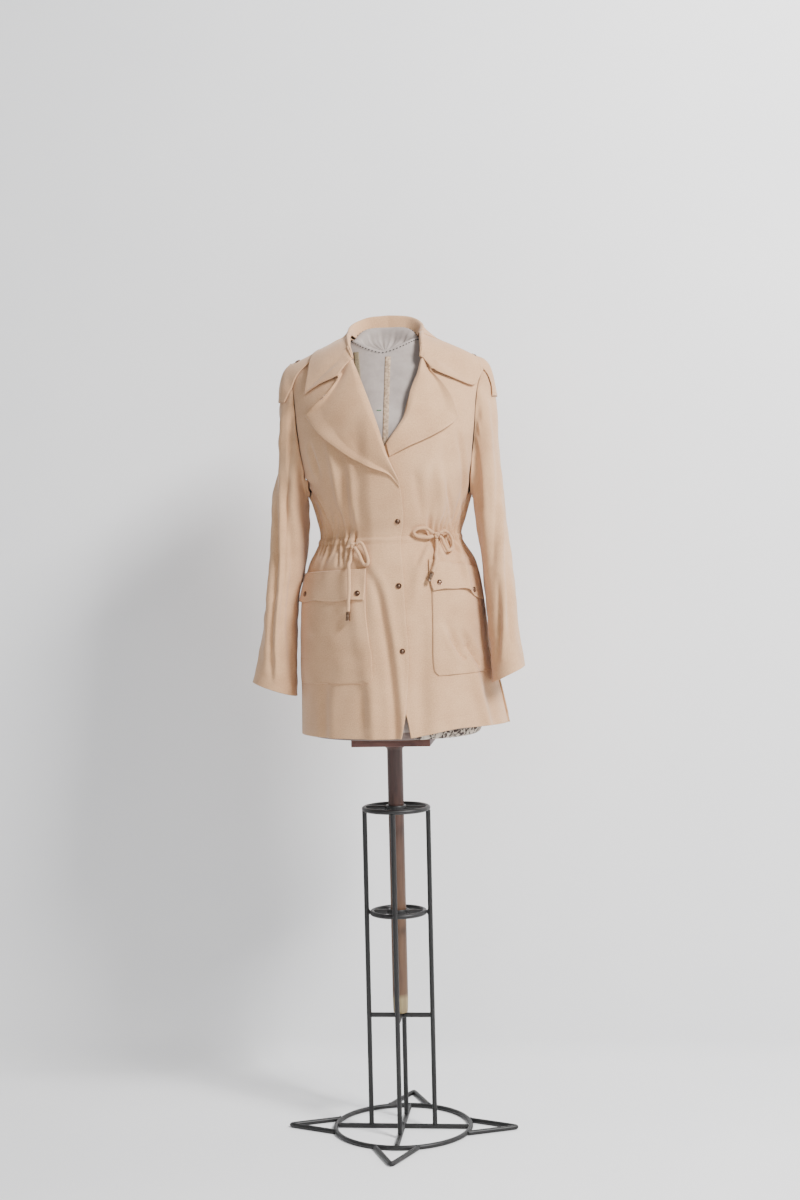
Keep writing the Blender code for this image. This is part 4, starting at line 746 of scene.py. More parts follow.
for name, side in (("sleeve_right", -1.0), ("sleeve_left", 1.0)):
    hole = armhole(side, ROUND)
    ring = sleeve_rings(name, side, np.array([0.0]))[0]
    reach = np.linalg.norm(ring - hole, axis=1)
    cap = 0.5 + 0.5 * np.cos(2.0 * math.pi * np.arange(ROUND) / ROUND)
    leave = np.stack([side * (0.35 + 0.05 * cap) * reach, 0.0 * reach, -0.55 * reach], axis=1)
    arrive = np.stack([side * 0.10 * reach * cap, 0.0 * reach, -0.85 * reach], axis=1)
    t = np.linspace(0.0, 1.0, 46)[:-1, None, None]
    grid = np.concatenate([hermite(t, hole, leave, ring, arrive), sleeve_rings(name, side, SLEEVE_STEPS)])
    normals = outward_normals(grid, grid.mean(axis=1, keepdims=True), wrap=True)
    row = np.arange(len(grid))[:, None]
    out_by = np.full(grid.shape[:2], 0.0018) - 0.0020 * np.exp(-(row / 2.2) ** 2)
    for width, rise, lean, *line in SLEEVE_FOLDS[name]:
        path = curve_through(np.array(line) / 1000.0, 5)
        fold = crease(grid[..., 0], grid[..., 2], width / 1000.0, rise / 1000.0, path, side=lean)
        out_by += SLEEVE_FOLD_GAIN * fold * ease(0.15, -0.30, normals[..., 1])
    # The cap is eased into the armhole, so its seam line dips and small fullness stands beside it.
    spot = np.arange(ROUND)[None, :]
    out_by += 0.0009 * np.exp(-((row - 7.0) / 5.0) ** 2) * np.sin(spot * 0.9 + 2.0 * np.sin(spot * 0.21))
    grid = grid + normals * out_by[..., None]
    cloth(name + "_cloth", name, grid, SINGLE_CLOTH, grid.mean(axis=1, keepdims=True), wrap=True,
          uneven=0.0010)

# Large patch pockets lie on the skirt, and a flap hangs over each with its lower edge a little wavy.
# The flaps are double cloth sewn on above the pocket and closed with two snaps each.
POCKETS = {
    "pocket_right": (("step", "inner_x", "z", "outer_z"), (0, -0.033, 1.078, 1.078), (1, -0.033, 1.030, 1.030),
                     (2, -0.029, 0.984, 0.984), (3, -0.022, 0.930, 0.928), (4, -0.021, 0.899, 0.896),
                     (5, -0.028, 0.886, 0.882)),
    "pocket_left": (("step", "inner_x", "z", "outer_z"), (0, 0.090, 1.078, 1.070), (1, 0.090, 1.035, 1.030),
                    (2, 0.090, 0.990, 0.988), (3, 0.089, 0.940, 0.942), (4, 0.091, 0.908, 0.912),
                    (5, 0.099, 0.897, 0.901)),
}
FLAPS = {
    "flap_right": (("step", "inner_x", "z", "outer_z"), (0, -0.032, 1.100, 1.093), (1, -0.0325, 1.080, 1.074),
                   (2, -0.034, 1.060, 1.055), (3, -0.036, 1.042, 1.038)),
    "flap_left": (("step", "inner_x", "z", "outer_z"), (0, 0.083, 1.115, 1.098), (1, 0.084, 1.095, 1.078),
                  (2, 0.086, 1.075, 1.058), (3, 0.091, 1.056, 1.039)),
}
# How far a flap's lower edge rises or drops across its width, and how far it stands out there, in mm
FLAP_EDGES = {
    "flap_right": ((0.0, 0.16, 0.32, 0.46, 0.60, 0.80, 1.0), (0.0, 0.8, -1.6, -0.8, 2.4, -1.4, 0.5),
                   (1.0, 2.6, 1.2, 2.2, 3.8, 1.8, 2.4)),
    "flap_left": ((0.0, 0.17, 0.34, 0.52, 0.62, 0.70, 0.78, 1.0), (0.0, 6.0, 8.0, 11.5, 9.0, 2.0, -1.5, -3.0),
                  (1.0, 3.2, 2.0, 4.0, 4.4, 2.8, 1.6, 3.0)),
}


def patch(name, table, rows, columns, lift, thick, round_corners=False):
    """A pocket or flap from its inner edge round to just short of the side seam."""
    side = -1.0 if name.endswith("right") else 1.0
    step = np.linspace(0.0, table[-1][0], rows)[:, None]
    k = np.linspace(0.0, 1.0, columns)[None, :]
    inner, z_in, z_out = (look(table, word, step) for word in ("inner_x", "z", "outer_z"))
    z = mix(z_in, z_out, k)
    start = np.degrees(np.arcsin(inner / half_width(side, z_in)))
    end = side * 76.0 * (1.0 - 0.035 * ease(table[-1][0] - 1.0, table[-1][0], step) * round_corners)
    low = step / table[-1][0]
    out_by = np.full(z.shape, lift)
    if name in FLAP_EDGES:
        places, rises, stands = (np.array(row, dtype=float) for row in FLAP_EDGES[name])
        smooth_k = curve_through(np.stack([places, rises, stands], axis=1), 6)
        z = z + np.interp(k, smooth_k[:, 0], smooth_k[:, 1]) / 1000.0 * low ** 1.5
        out_by = out_by + np.interp(k, smooth_k[:, 0], smooth_k[:, 2]) / 1000.0 * low ** 2
    else:
        puff = np.sin(math.pi * np.clip(k, 0.0, 1.0)) ** 0.5 * np.sin(math.pi * np.clip(low, 0.02, 1.0)) ** 0.5
        flat = np.stack([k + 0.0 * z, 0.0 * z, z], axis=2) * np.array((0.18, 0.0, 1.0))
        out_by = out_by + 0.0016 * puff
        out_by = out_by + 0.0011 * ripple(flat, 17, 0.05, 1.0) * puff
    turn = mix(start, end, k)
    x = np.sin(np.radians(turn)) * half_width(side, z)
    out_by = out_by + relief(x, z, np.full(x.shape, -1), turn) + (overlap_lift(x, z) if side < 0.0 else 0.0)
    host = "front_right_panel" if side < 0 else "front_left_panel"
    under = tree_of(host, *([name.replace("flap", "pocket") + "_cloth"] if name in FLAP_EDGES else []))
    grid = settle(skin(x, z, -1, out_by + thick), under, thick + 0.0004)
    cloth(name + "_cloth", name, grid, thick, uneven=0.0003)


for name in ("pocket_right", "pocket_left"):
    patch(name, POCKETS[name], 76, 76, 0.0006, SINGLE_CLOTH, round_corners=True)
for name in ("flap_right", "flap_left"):
    patch(name, FLAPS[name], 34, 84, 0.0026, DOUBLE_CLOTH)

# The lapels are the fronts' facings turned back along the roll line, double cloth with a pressed edge.
# The collar is a stand and fall in one, which rolls over at the neck and lies open on the lapels.
# Roll line and outer edge of each lapel, from the break up to the gorge
LAPELS = {
    "lapel_right": (
        ("step", "roll_x", "roll_z", "edge_x", "edge_z"),
        (0, 0.0345, 1.260, 0.0335, 1.2535),
        (1, 0.0240, 1.286, 0.0140, 1.277),
        (2, 0.0110, 1.318, -0.0210, 1.291),
        (3, 0.0030, 1.347, -0.0570, 1.310),
        (4, -0.0050, 1.372, -0.0840, 1.330),
        (5, -0.0140, 1.398, -0.1120, 1.353),
        (6, -0.0225, 1.421, -0.1330, 1.376),
        (7, -0.0300, 1.440, -0.1450, 1.394),
        (8, -0.0385, 1.461, -0.1220, 1.412),
        (9, -0.0465, 1.480, -0.1000, 1.431),
        (10, -0.0540, 1.4960, -0.0790, 1.4600),
    ),
    "lapel_left": (
        ("step", "roll_x", "roll_z", "edge_x", "edge_z"),
        (0, 0.0115, 1.333, 0.0165, 1.309),
        (1, 0.0170, 1.343, 0.0330, 1.317),
        (2, 0.0240, 1.353, 0.0560, 1.329),
        (3, 0.0330, 1.365, 0.0790, 1.339),
        (4, 0.0430, 1.381, 0.1000, 1.350),
        (5, 0.0495, 1.398, 0.1200, 1.363),
        (6, 0.0530, 1.416, 0.1340, 1.374),
        (7, 0.0565, 1.433, 0.1420, 1.384),
        (8, 0.0620, 1.450, 0.1320, 1.415),
        (9, 0.0685, 1.467, 0.1140, 1.446),
        (10, 0.0735, 1.4920, 0.0920, 1.4700),
    ),
}
# Seam, fold and outer edge on each side, from the back middle to the gorge
COLLAR = (
    ("step", "seam_x", "seam_y", "seam_z", "fold_x", "fold_y", "fold_z",
     "right_x", "right_z", "left_x", "left_z"),
    (0.00, 0.0000, 0.0525, 1.5385, 0.0000, 0.0660, 1.593, 0.0000, 1.517, 0.000, 1.517),
    (0.20, 0.0350, 0.0450, 1.5425, 0.0360, 0.0600, 1.590, 0.0420, 1.516, 0.043, 1.515),
    (0.38, 0.0570, 0.0250, 1.5485, 0.0600, 0.0400, 1.580, 0.0830, 1.514, 0.088, 1.511),
    (0.52, 0.0650, 0.0020, 1.5515, 0.0690, 0.0150, 1.567, 0.1120, 1.515, 0.128, 1.507),
    (0.62, 0.0645, -0.0190, 1.5470, 0.0700, -0.0080, 1.551, 0.1330, 1.516, 0.160, 1.504),
    (0.72, 0.0625, -0.0370, 1.5360, 0.0695, -0.0280, 1.536, 0.1405, 1.496, 0.182, 1.492),
    (0.80, 0.0610, -0.0510, 1.5240, 0.0685, -0.0440, 1.523, 0.1430, 1.468, 0.186, 1.474),
    (0.88, 0.0590, -0.0660, 1.5110, 0.0665, -0.0590, 1.511, 0.1470, 1.434, 0.167, 1.444),
    (0.94, 0.0570, -0.0750, 1.5035, 0.0640, -0.0700, 1.504, 0.1150, 1.452, 0.134, 1.456),
    (1.00, 0.0550, -0.0830, 1.4970, 0.0600, -0.0800, 1.497, 0.0790, 1.4635, 0.092, 1.4735),
)
for name, table in LAPELS.items():
    host = "front_right_panel" if name == "lapel_right" else "front_left_panel"
    # The top of each lapel runs on under the collar's end, where the two are sewn together.
    step = np.concatenate([np.linspace(0.0, 7.0, 56)[:-1], np.linspace(7.0, 10.0, 24),
                           [10.15, 10.3, 10.45]])[:, None]
    w = np.concatenate([np.linspace(0.0, 0.25, 18)[:-1], np.linspace(0.25, 1.0, 44)])[None, :]
    edge_x, edge_z = (look(table, word, step, corner=7) for word in ("edge_x", "edge_z"))
    beyond = np.maximum(step - 10.0, 0.0) * 0.034
    x = mix(look(table, "roll_x", step), edge_x, w) + beyond * (-0.45 if name == "lapel_right" else 0.45)
    z = mix(look(table, "roll_z", step), edge_z, w) + beyond * 0.9
    soft = 0.0050 * np.sqrt(ease(0.0, 0.11, w)) * (1.0 - ease(0.10, 0.85, w))
    out_by = np.maximum(soft, 0.0003) * ease(-0.5, 2.0, step) + 0.0018
    out_by = out_by + 0.0050 * ease(0.74, 1.0, w) * ease(0.3, 2.5, step) * (1.0 + 0.3 * np.sin(step * 1.7))
    if name == "lapel_right":
        out_by = out_by + overlap_lift(x, z)
    grid = settle(skin(x, z, -1, out_by), tree_of(host), DOUBLE_CLOTH + 0.0004)
    cloth(name + "_cloth", name, grid, DOUBLE_CLOTH, uneven=0.0004)

# Each strap lies over the shoulder: its middle in y, its half width, and the turn at its ends
STRAPS = {"epaulette_right": (-0.014, 0.028), "epaulette_left": (-0.004, 0.021)}
STRAP_X, STRAP_Z, STRAP_FIRST, STRAP_LAST = 0.125, 1.415, 4.0, 82.0
for name, side in (("epaulette_right", -1.0), ("epaulette_left", 1.0)):
    hand = name.split("_")[1]
    middle_y, full_half = STRAPS[name]
    under = tree_of("front_%s_panel" % hand, "back_panel", "sleeve_%s_cloth" % hand)
    rows = []
    for share in np.linspace(0.0, 1.0, 58):
        turn = math.radians(mix(STRAP_FIRST, STRAP_LAST, share))
        towards = Vector((-side * math.sin(turn), 0.0, -math.cos(turn)))
        half = full_half * (1.0 - 0.25 * ease(0.06, 0.0, share))
        row = []
        for w in np.linspace(-1.0, 1.0, 26):
            aim = Vector((side * STRAP_X, middle_y + half * w, STRAP_Z))
            # The nearest of a few close rays, so that none slips through the armhole seam.
            sideways = Vector((0.0, 1.0, 0.0)).cross(towards)
            tries = [under.ray_cast(aim - towards * 0.3 + step, towards) for step in
                     (Vector((0.0, slip, 0.0)) + sideways * slide for slip in (-0.002, 0.0, 0.002)
                      for slide in (-0.004, 0.0, 0.004))]
            hit = aim - towards * (0.3 - min(found[3] for found in tries if found[0] is not None))
            row.append(hit - towards * (0.0030 + 0.0008 * math.cos(w * math.pi / 2.0)))
        rows.append(row)
    grid = np.array(rows)
    for _ in range(8):
        grid[1:-1] = (grid[:-2] + grid[2:] + 2.0 * grid[1:-1]) / 4.0
        grid[:, 1:-1] = (grid[:, :-2] + grid[:, 2:] + 2.0 * grid[:, 1:-1]) / 4.0
    grid = settle(grid, under, DOUBLE_CLOTH + 0.0007)
    cloth(name + "_cloth", name, grid, DOUBLE_CLOTH, (0.0, 0.0, 1.36), uneven=0.0003)

steps = np.concatenate([np.linspace(-1.0, -0.88, 15)[:-1], np.linspace(-0.88, -0.80, 9)[:-1],
                        np.linspace(-0.80, 0.80, 118)[:-1], np.linspace(0.80, 0.88, 9)[:-1],
                        np.linspace(0.88, 1.0, 15)])
at, side = np.abs(steps), np.where(steps < 0.0, -1.0, 1.0)
seam, fold = (np.stack([side * look(COLLAR, word + "_x", at), look(COLLAR, word + "_y", at),
                        look(COLLAR, word + "_z", at)], axis=1) for word in ("seam", "fold"))
edge_x = np.where(steps < 0.0, look(EDGES, "over", seam[:, 2]), look(EDGES, "under", seam[:, 2]))
on_front = ease(0.50, 0.66, at)[:, None]
seam = mix(seam, skin(edge_x + side * 0.0035, seam[:, 2], -1, 0.0016 + 0.0016 * ease(0.80, 0.66, at)), on_front)
seam[:, 2] += 0.0012 * ease(0.80, 0.60, at) * ease(0.40, 0.55, at)
fold = mix(fold, skin(edge_x - side * 0.0005, seam[:, 2], -1, 0.0075 - 0.0035 * ease(0.8, 1.0, at)), on_front)
x, z = (np.where(steps < 0.0, look(COLLAR, "right_" + axis, at, corner=7),
                 look(COLLAR, "left_" + axis, at, corner=6)) for axis in "xz")
x = side * x
z = np.minimum(z, ridge(x) - 0.0004)
edge = skin(x, z, np.where(at < 0.57, 1, -1), 0.0050)
away = unit(fold * np.array((1.0, 1.2, 0.0)))
roll = (0.006 * ease(1.05, 0.75, at) + 0.0012)[:, None]
lifted = np.array((0.0, 0.0, 1.0))
over = fold + away * roll - lifted * (0.001 + 0.005 * ease(1.02, 0.80, at))[:, None]
across = [seam, fold - away * 0.0008, fold + away * roll * 0.5 + lifted * roll * 0.25, over]
across += [mix(over, edge, w) + away * 0.004 * math.sin(math.pi * w) for w in (0.28, 0.52, 0.76, 1.0)]
grid = curve_through(np.array(across), 7).transpose(1, 0, 2)
under = tree_of("front_right_panel", "front_left_panel", "back_panel", "sleeve_right_cloth", "sleeve_left_cloth",
                "epaulette_right_cloth", "epaulette_left_cloth", "lapel_right_cloth", "lapel_left_cloth")
grid = settle(grid, under, 0.0008)
grid = grid + outward_normals(grid, (0.0, 0.0, 1.40)) * DOUBLE_CLOTH
cloth("collar_cloth", "collar", grid, DOUBLE_CLOTH, (0.0, 0.0, 1.40), uneven=0.0004)

# The drawcord is a narrow tube sewn from the same twill, pulled out of the waist channel on each side.
# Each side is tied in a small bow that shows its loops and one free end with a metal barrel.
cord_twill = twill("sewn twill tube", "#CFA57D", "#B38963")
CORD_WIDTH, CORD_HALF_THICK, KNOT_SIZE = 0.0062, 0.0027, 0.00135
# The middle of each stretch of cord that shows, in mm
CORD_ROUTES = {
    "drawcord_end_right": (
        (-60.2, -114.4, 1137.3), (-60.7, -115.9, 1132.8), (-61.2, -118.0, 1128.0), (-62.3, -120.3, 1122.4),
        (-63.0, -122.9, 1115.0), (-64.8, -134.1, 1108.1), (-63.5, -138.0, 1098.0), (-63.3, -142.1, 1089.0),
        (-63.0, -144.6, 1080.0), (-62.9, -146.2, 1071.3), (-63.0, -147.1, 1063.0), (-63.4, -147.6, 1055.4),
        (-64.0, -147.3, 1048.0), (-65.4, -146.9, 1039.8), (-65.5, -144.4, 1032.0), (-66.2, -143.8, 1025.8),
        (-66.8, -143.6, 1021.5)),
    "drawcord_loop_right": (
        (-50.8, -118.2, 1146.9), (-48.3, -118.8, 1148.7), (-45.5, -119.5, 1150.0), (-42.7, -120.4, 1149.5),
        (-40.0, -121.5, 1147.5), (-37.7, -122.9, 1143.8), (-35.5, -124.9, 1139.0), (-33.2, -127.7, 1133.7),
        (-31.0, -130.7, 1128.0), (-28.9, -133.9, 1122.3), (-27.5, -136.5, 1117.0), (-27.4, -137.6, 1112.3),
        (-28.5, -137.6, 1109.0), (-31.5, -136.4, 1107.8), (-35.0, -134.8, 1108.5), (-37.9, -133.2, 1111.7),
        (-40.5, -131.6, 1116.0), (-42.4, -129.9, 1120.0), (-44.0, -128.4, 1124.0), (-45.7, -127.3, 1127.6),
        (-47.5, -126.3, 1131.0), (-49.7, -125.1, 1134.4), (-54.6, -119.4, 1140.9)),
    "drawcord_loop_left_a": (
        (92.2, -92.2, 1164.8), (87.6, -95.5, 1168.8), (84.0, -97.9, 1172.0), (79.8, -99.8, 1174.0),
        (75.0, -101.9, 1175.0), (69.4, -104.7, 1174.8), (64.0, -107.1, 1173.5), (59.5, -108.3, 1170.6),
        (57.0, -108.7, 1167.0), (58.4, -108.3, 1163.3), (62.0, -107.2, 1160.0), (66.7, -105.4, 1158.3),
        (72.0, -103.4, 1157.5), (77.2, -101.6, 1157.0), (82.0, -99.7, 1157.0), (86.4, -97.0, 1157.7),
        (91.7, -93.1, 1159.3)),
    "drawcord_loop_left_b": (
        (103.1, -82.8, 1164.2), (109.0, -78.5, 1168.2), (113.0, -77.3, 1169.0), (117.2, -72.0, 1166.3),
        (121.0, -63.1, 1162.0), (124.3, -61.8, 1155.9), (126.5, -63.1, 1149.0), (127.0, -65.5, 1142.0),
        (127.5, -69.9, 1137.0), (124.1, -77.1, 1133.1), (119.5, -81.1, 1131.0), (116.8, -81.4, 1134.1),
        (114.5, -80.2, 1139.3), (111.5, -79.1, 1144.6), (109.5, -78.6, 1150.2), (108.1, -78.9, 1154.4),
        (103.5, -83.3, 1159.1)),
    "drawcord_end_left": (
        (98.0, -87.7, 1153.9), (98.3, -88.8, 1148.5), (98.9, -91.4, 1143.3), (98.9, -95.0, 1137.4),
        (98.5, -98.8, 1131.3), (97.8, -102.2, 1126.5), (97.5, -106.2, 1122.0), (98.9, -113.2, 1117.5),
        (98.5, -117.8, 1112.0), (97.5, -120.8, 1106.5), (96.0, -123.0, 1101.0), (94.1, -125.7, 1095.6),
        (92.5, -127.7, 1091.5)),
}
lain_on = tree_of("front_right_panel", "front_left_panel", "pocket_right_cloth", "pocket_left_cloth",
                  "flap_right_cloth", "flap_left_cloth")


def clear_of_cloth(point, rise):
    """The point, moved forward where it has to be to stand clear of the creased cloth."""
    hit, normal = lain_on.ray_cast(Vector((point[0], -0.4, point[2])), Vector((0.0, 1.0, 0.0)))[:2]
    if hit is None:
        return np.array(point)
    return np.array((point[0], min(point[1], hit.y - rise / max(0.5, abs(normal.y))), point[2]))


# A knot is one overhand turn of the same tube, pulled tight.
knots = {}
for name, middle in (("drawcord_knot_right", (-58.0, -114.2, 1145.0)),
                     ("drawcord_knot_left", (98.0, -88.5, 1161.5))):
    t = np.linspace(0.0, 2.0 * math.pi, 73)[:-1]
    turns = np.stack([np.sin(t) + 2.0 * np.sin(2.0 * t), -0.85 * np.sin(3.0 * t) - 0.2,
                      np.cos(t) - 2.0 * np.cos(2.0 * t)], axis=1) * KNOT_SIZE
    turns = turns + clear_of_cloth(np.array(middle) / 1000.0, 0.0045)
    knots[name] = sweep(name.replace("drawcord", "tied"), turns, 0.0028, 0.0026, cord_twill, closed=True, sides=14)
    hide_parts(name)
    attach(knots[name], "form")
# Each barrel is drawn over the cord's end, with a bead at its mouth and the cord's cut end inside.
BARREL = ((0.0028, 0.0003), (0.0039, 0.0003), (0.0044, 0.0007), (0.0045, 0.0014), (0.0042, 0.0021), (0.0038, 0.0024),
          (0.0038, 0.0148), (0.0042, 0.0152), (0.0045, 0.0160), (0.0044, 0.0167), (0.0039, 0.0172), (0.0030, 0.0172),
          (0.0027, 0.0160), (0.0024, 0.0150), (0.0, 0.0152))
tips = {}
for name, top, low in (("cord_tip_right", (-66.9, -143.8, 1020.7), (-67.8, -143.7, 1003.0)),
                       ("cord_tip_left", (92.0, -128.1, 1090.7), (83.5, -129.2, 1072.0))):
    top, low = (Vector(clear_of_cloth(np.array(p) / 1000.0, 0.0047)) for p in (top, low))
    tips[name] = lathe(name.replace("cord_tip", "barrel"), BARREL, top, (low - top).normalized(), tip_brass)
    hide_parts(name)
    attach(tips[name], "form")
for name, route in CORD_ROUTES.items():
    points = curve_through(np.array(route) / 1000.0, 4)
    for k, p in enumerate(points):
        # The cord lies on the cloth, and a free end rises a little to run into its barrel.
        points[k] = clear_of_cloth(p, 0.0030 + ("end" in name) * 0.0017 * ease(0.8, 1.0, k / (len(points) - 1)))
    points[1:-1] = (points[:-2] + 2.0 * points[1:-1] + points[2:]) / 4.0
    cord = sweep(name.replace("drawcord", "cord"), points, CORD_WIDTH / 2.0, CORD_HALF_THICK, cord_twill,
                 seam=0.10)
    hand = "right" if name.endswith("right") else "left"
    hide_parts(name)
    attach(cord, "form")

# Topstitching in tan thread holds every edge: fronts, hem, cuffs, pockets, flaps, lapels, collar and straps.
# Two rows a finger apart make the drawcord channel at the waist.
thread = new_material("tan sewing thread", "#A9805C", 0.7)[0]


def repeat_on(name, places, alongs, facings, prototype, finish):
    """Repeat one piece at many places, turned along the surface there."""
    mesh = bpy.data.meshes.new(name)
    mesh.from_pydata([tuple(p) for p in places], [], [])
    for word, vectors in (("along", alongs), ("facing", facings)):
        values = mesh.attributes.new(word, "FLOAT_VECTOR", "POINT").data
        values.foreach_set("vector", np.asarray(vectors, dtype=float).ravel())
    spots = bpy.data.objects.new(name + "_spots", mesh)
    bpy.context.scene.collection.objects.link(spots)
    tree = bpy.data.node_groups.new(name, "GeometryNodeTree")
    tree.interface.new_socket("Spots", in_out="INPUT", socket_type="NodeSocketGeometry")
    sockets = {word: tree.interface.new_socket(word, in_out="INPUT", socket_type=kind).identifier
               for word, kind in (("Repeated piece", "NodeSocketObject"), ("Finish", "NodeSocketMaterial"),
                                  ("Unevenness", "NodeSocketFloat"), ("Seed", "NodeSocketInt"))}
    tree.interface.new_socket("Geometry", in_out="OUTPUT", socket_type="NodeSocketGeometry")
    given = tree.nodes.new("NodeGroupInput")
    piece = add_node(tree, "GeometryNodeObjectInfo", {"Object": given.outputs["Repeated piece"]})
    out, run = (add_node(tree, "GeometryNodeInputNamedAttribute", {"Name": word},
                         data_type="FLOAT_VECTOR").outputs["Attribute"] for word in ("facing", "along"))
    upright = add_node(tree, "FunctionNodeAlignRotationToVector", {"Vector": out}, axis="Z")
    turned = add_node(tree, "FunctionNodeAlignRotationToVector",
                      {"Rotation": upright.outputs["Rotation"], "Vector": run}, axis="X", pivot_axis="Z")
    low = add_node(tree, "ShaderNodeMath", {0: 1.0, 1: given.outputs["Unevenness"]}, operation="SUBTRACT")
    size = add_node(tree, "FunctionNodeRandomValue", {2: low.outputs[0], 3: 1.0, "Seed": given.outputs["Seed"]})
    spread = add_node(tree, "GeometryNodeInstanceOnPoints", {
        "Points": given.outputs["Spots"], "Instance": piece.outputs["Geometry"], "Rotation": turned.outputs["Rotation"],
        "Scale": size.outputs[1]})
    real = add_node(tree, "GeometryNodeRealizeInstances", {"Geometry": spread.outputs["Instances"]})
    coated = add_node(tree, "GeometryNodeSetMaterial",
                      {"Geometry": real.outputs["Geometry"], "Material": given.outputs["Finish"]})
    result = tree.nodes.new("NodeGroupOutput")
    tree.links.new(coated.outputs["Geometry"], result.inputs["Geometry"])
    modifier = spots.modifiers.new("repeat", "NODES")
    modifier.node_group = tree
    modifier[sockets["Repeated piece"]] = prototype
    modifier[sockets["Finish"]] = finish
    modifier[sockets["Unevenness"]] = 0.12
    modifier[sockets["Seed"]] = 5
    plain = bpy.data.meshes.new_from_object(spots.evaluated_get(bpy.context.evaluated_depsgraph_get()))
    made = bpy.data.objects.new(name, plain)
    bpy.context.scene.collection.objects.link(made)
    bpy.data.objects.remove(spots)
    bpy.data.objects.remove(prototype)
    return made


def bead_piece(name, size, subdivisions=1, lumps=0.0):
    """One small rounded piece to be repeated: a stitch or a bead of weld."""
    bead = bmesh.new()
    bmesh.ops.create_icosphere(bead, subdivisions=subdivisions, radius=1.0)
    for v in bead.verts:
        lump = 1.0 + lumps * math.sin(v.co.x * 9.0) * math.cos(v.co.y * 8.0)
        v.co = (v.co.x * size[0] * lump, v.co.y * size[1] * lump, v.co.z * size[2])
    mesh = bpy.data.meshes.new(name)
    bead.to_mesh(mesh)
    mesh.shade_smooth()
    piece = bpy.data.objects.new(name, mesh)
    bpy.context.scene.collection.objects.link(piece)
    return piece


def inset_line(name, edge, inset, first=0.0, last=1.0):
    """A line on a cloth piece that stays one distance from one of its edges, with the normals there."""
    grid, normals = SHEETS[name]
    if edge in ("low", "high"):
        grid, normals = grid.transpose(1, 0, 2), normals.transpose(1, 0, 2)
    if edge in ("right", "high"):
        grid, normals = grid[:, ::-1], normals[:, ::-1]
    points, facings = [], []
    for row, facing in zip(grid, normals):
        run = lengths(row)
        points.append(read_at(inset, run, row))
        facings.append(read_at(inset, run, facing))
    points, facings = np.array(points), unit(np.array(facings))
    keep = slice(int(len(points) * first), max(int(len(points) * last), 2))
    return points[keep], facings[keep]


def height_line(name, z_of):
    """A line round a panel at one height, with the normals there."""
    grid, normals = SHEETS[name]
    points, facings = [], []
    for j in range(grid.shape[1]):
        column = grid[:, j]
        z = z_of(column)
        spot = min(max(int(np.searchsorted(column[:, 2] - z, 0.0)), 1), len(column) - 1)
        t = (z[spot] - column[spot - 1, 2]) / max(column[spot, 2] - column[spot - 1, 2], 1e-6)
        points.append(mix(column[spot - 1], column[spot], t))
        facings.append(mix(normals[spot - 1, j], normals[spot, j], t))
    return np.array(points), unit(np.array(facings))


stitch_rows = [[], [], []]


def sew(line, pitch=0.0036, sink=0.00005):
    """Lay stitches one pitch apart along a line."""
    points, facings = line
    run = lengths(points)
    want = np.arange(pitch, run[-1] - pitch / 2.0, pitch)
    if len(want) < 2:
        return
    spots, out = read_at(want, run, points), read_at(want, run, facings)
    stitch_rows[0].append(spots - out * sink)
    stitch_rows[1].append(unit(np.gradient(spots, axis=0)))
    stitch_rows[2].append(unit(out))


def waist_height(offset):
    def z_of(column):
        turn = np.degrees(np.arctan2(column[:, 0], -column[:, 1]))
        return channel(np.where(turn < -100.0, turn + 360.0, turn)) + offset
    return z_of


for name in ("front_right_panel", "front_left_panel", "back_panel"):
    sew(inset_line(name, "low", 0.0240))
    for offset in (-CHANNEL_HALF, CHANNEL_HALF):
        sew(height_line(name, waist_height(offset)))
sew(inset_line("front_right_panel", "left", 0.0060, 0.0, 0.62))
sew(inset_line("front_left_panel", "left", 0.0060, 0.0, 0.70))
for name in ("sleeve_right_cloth", "sleeve_left_cloth"):
    points, facings = inset_line(name, "high", 0.0250)
    sew((np.concatenate([points, points[:1]]), np.concatenate([facings, facings[:1]])))
for name in ("pocket_right_cloth", "pocket_left_cloth"):
    for edge in ("left", "high"):
        sew(inset_line(name, edge, 0.0022))
    sew(inset_line(name, "high", 0.0480, 0.0, 0.98))
for name in ("flap_right_cloth", "flap_left_cloth"):
    for edge in ("left", "right", "high"):
        sew(inset_line(name, edge, 0.0055, 0.04, 0.97))
    sew(inset_line(name, "low", 0.0020))
for name in ("lapel_right_cloth", "lapel_left_cloth"):
    sew(inset_line(name, "right", 0.0055, 0.03, 0.985))
    sew(inset_line(name, "high", 0.0055, 0.25, 0.93))
sew(inset_line("collar_cloth", "right", 0.0055, 0.01, 0.99))
for edge in ("low", "high"):
    sew(inset_line("collar_cloth", edge, 0.0055, 0.45, 0.95))
for name in ("epaulette_right_cloth", "epaulette_left_cloth"):
    for edge in ("left", "right", "high"):
        sew(inset_line(name, edge, 0.0050, 0.03, 0.97))
stitch = bead_piece("stitch", (0.00145, 0.00030, 0.00028))
stitches = repeat_on("topstitching", *(np.concatenate(rows) for rows in stitch_rows), stitch, thread)
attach(stitches, "form")

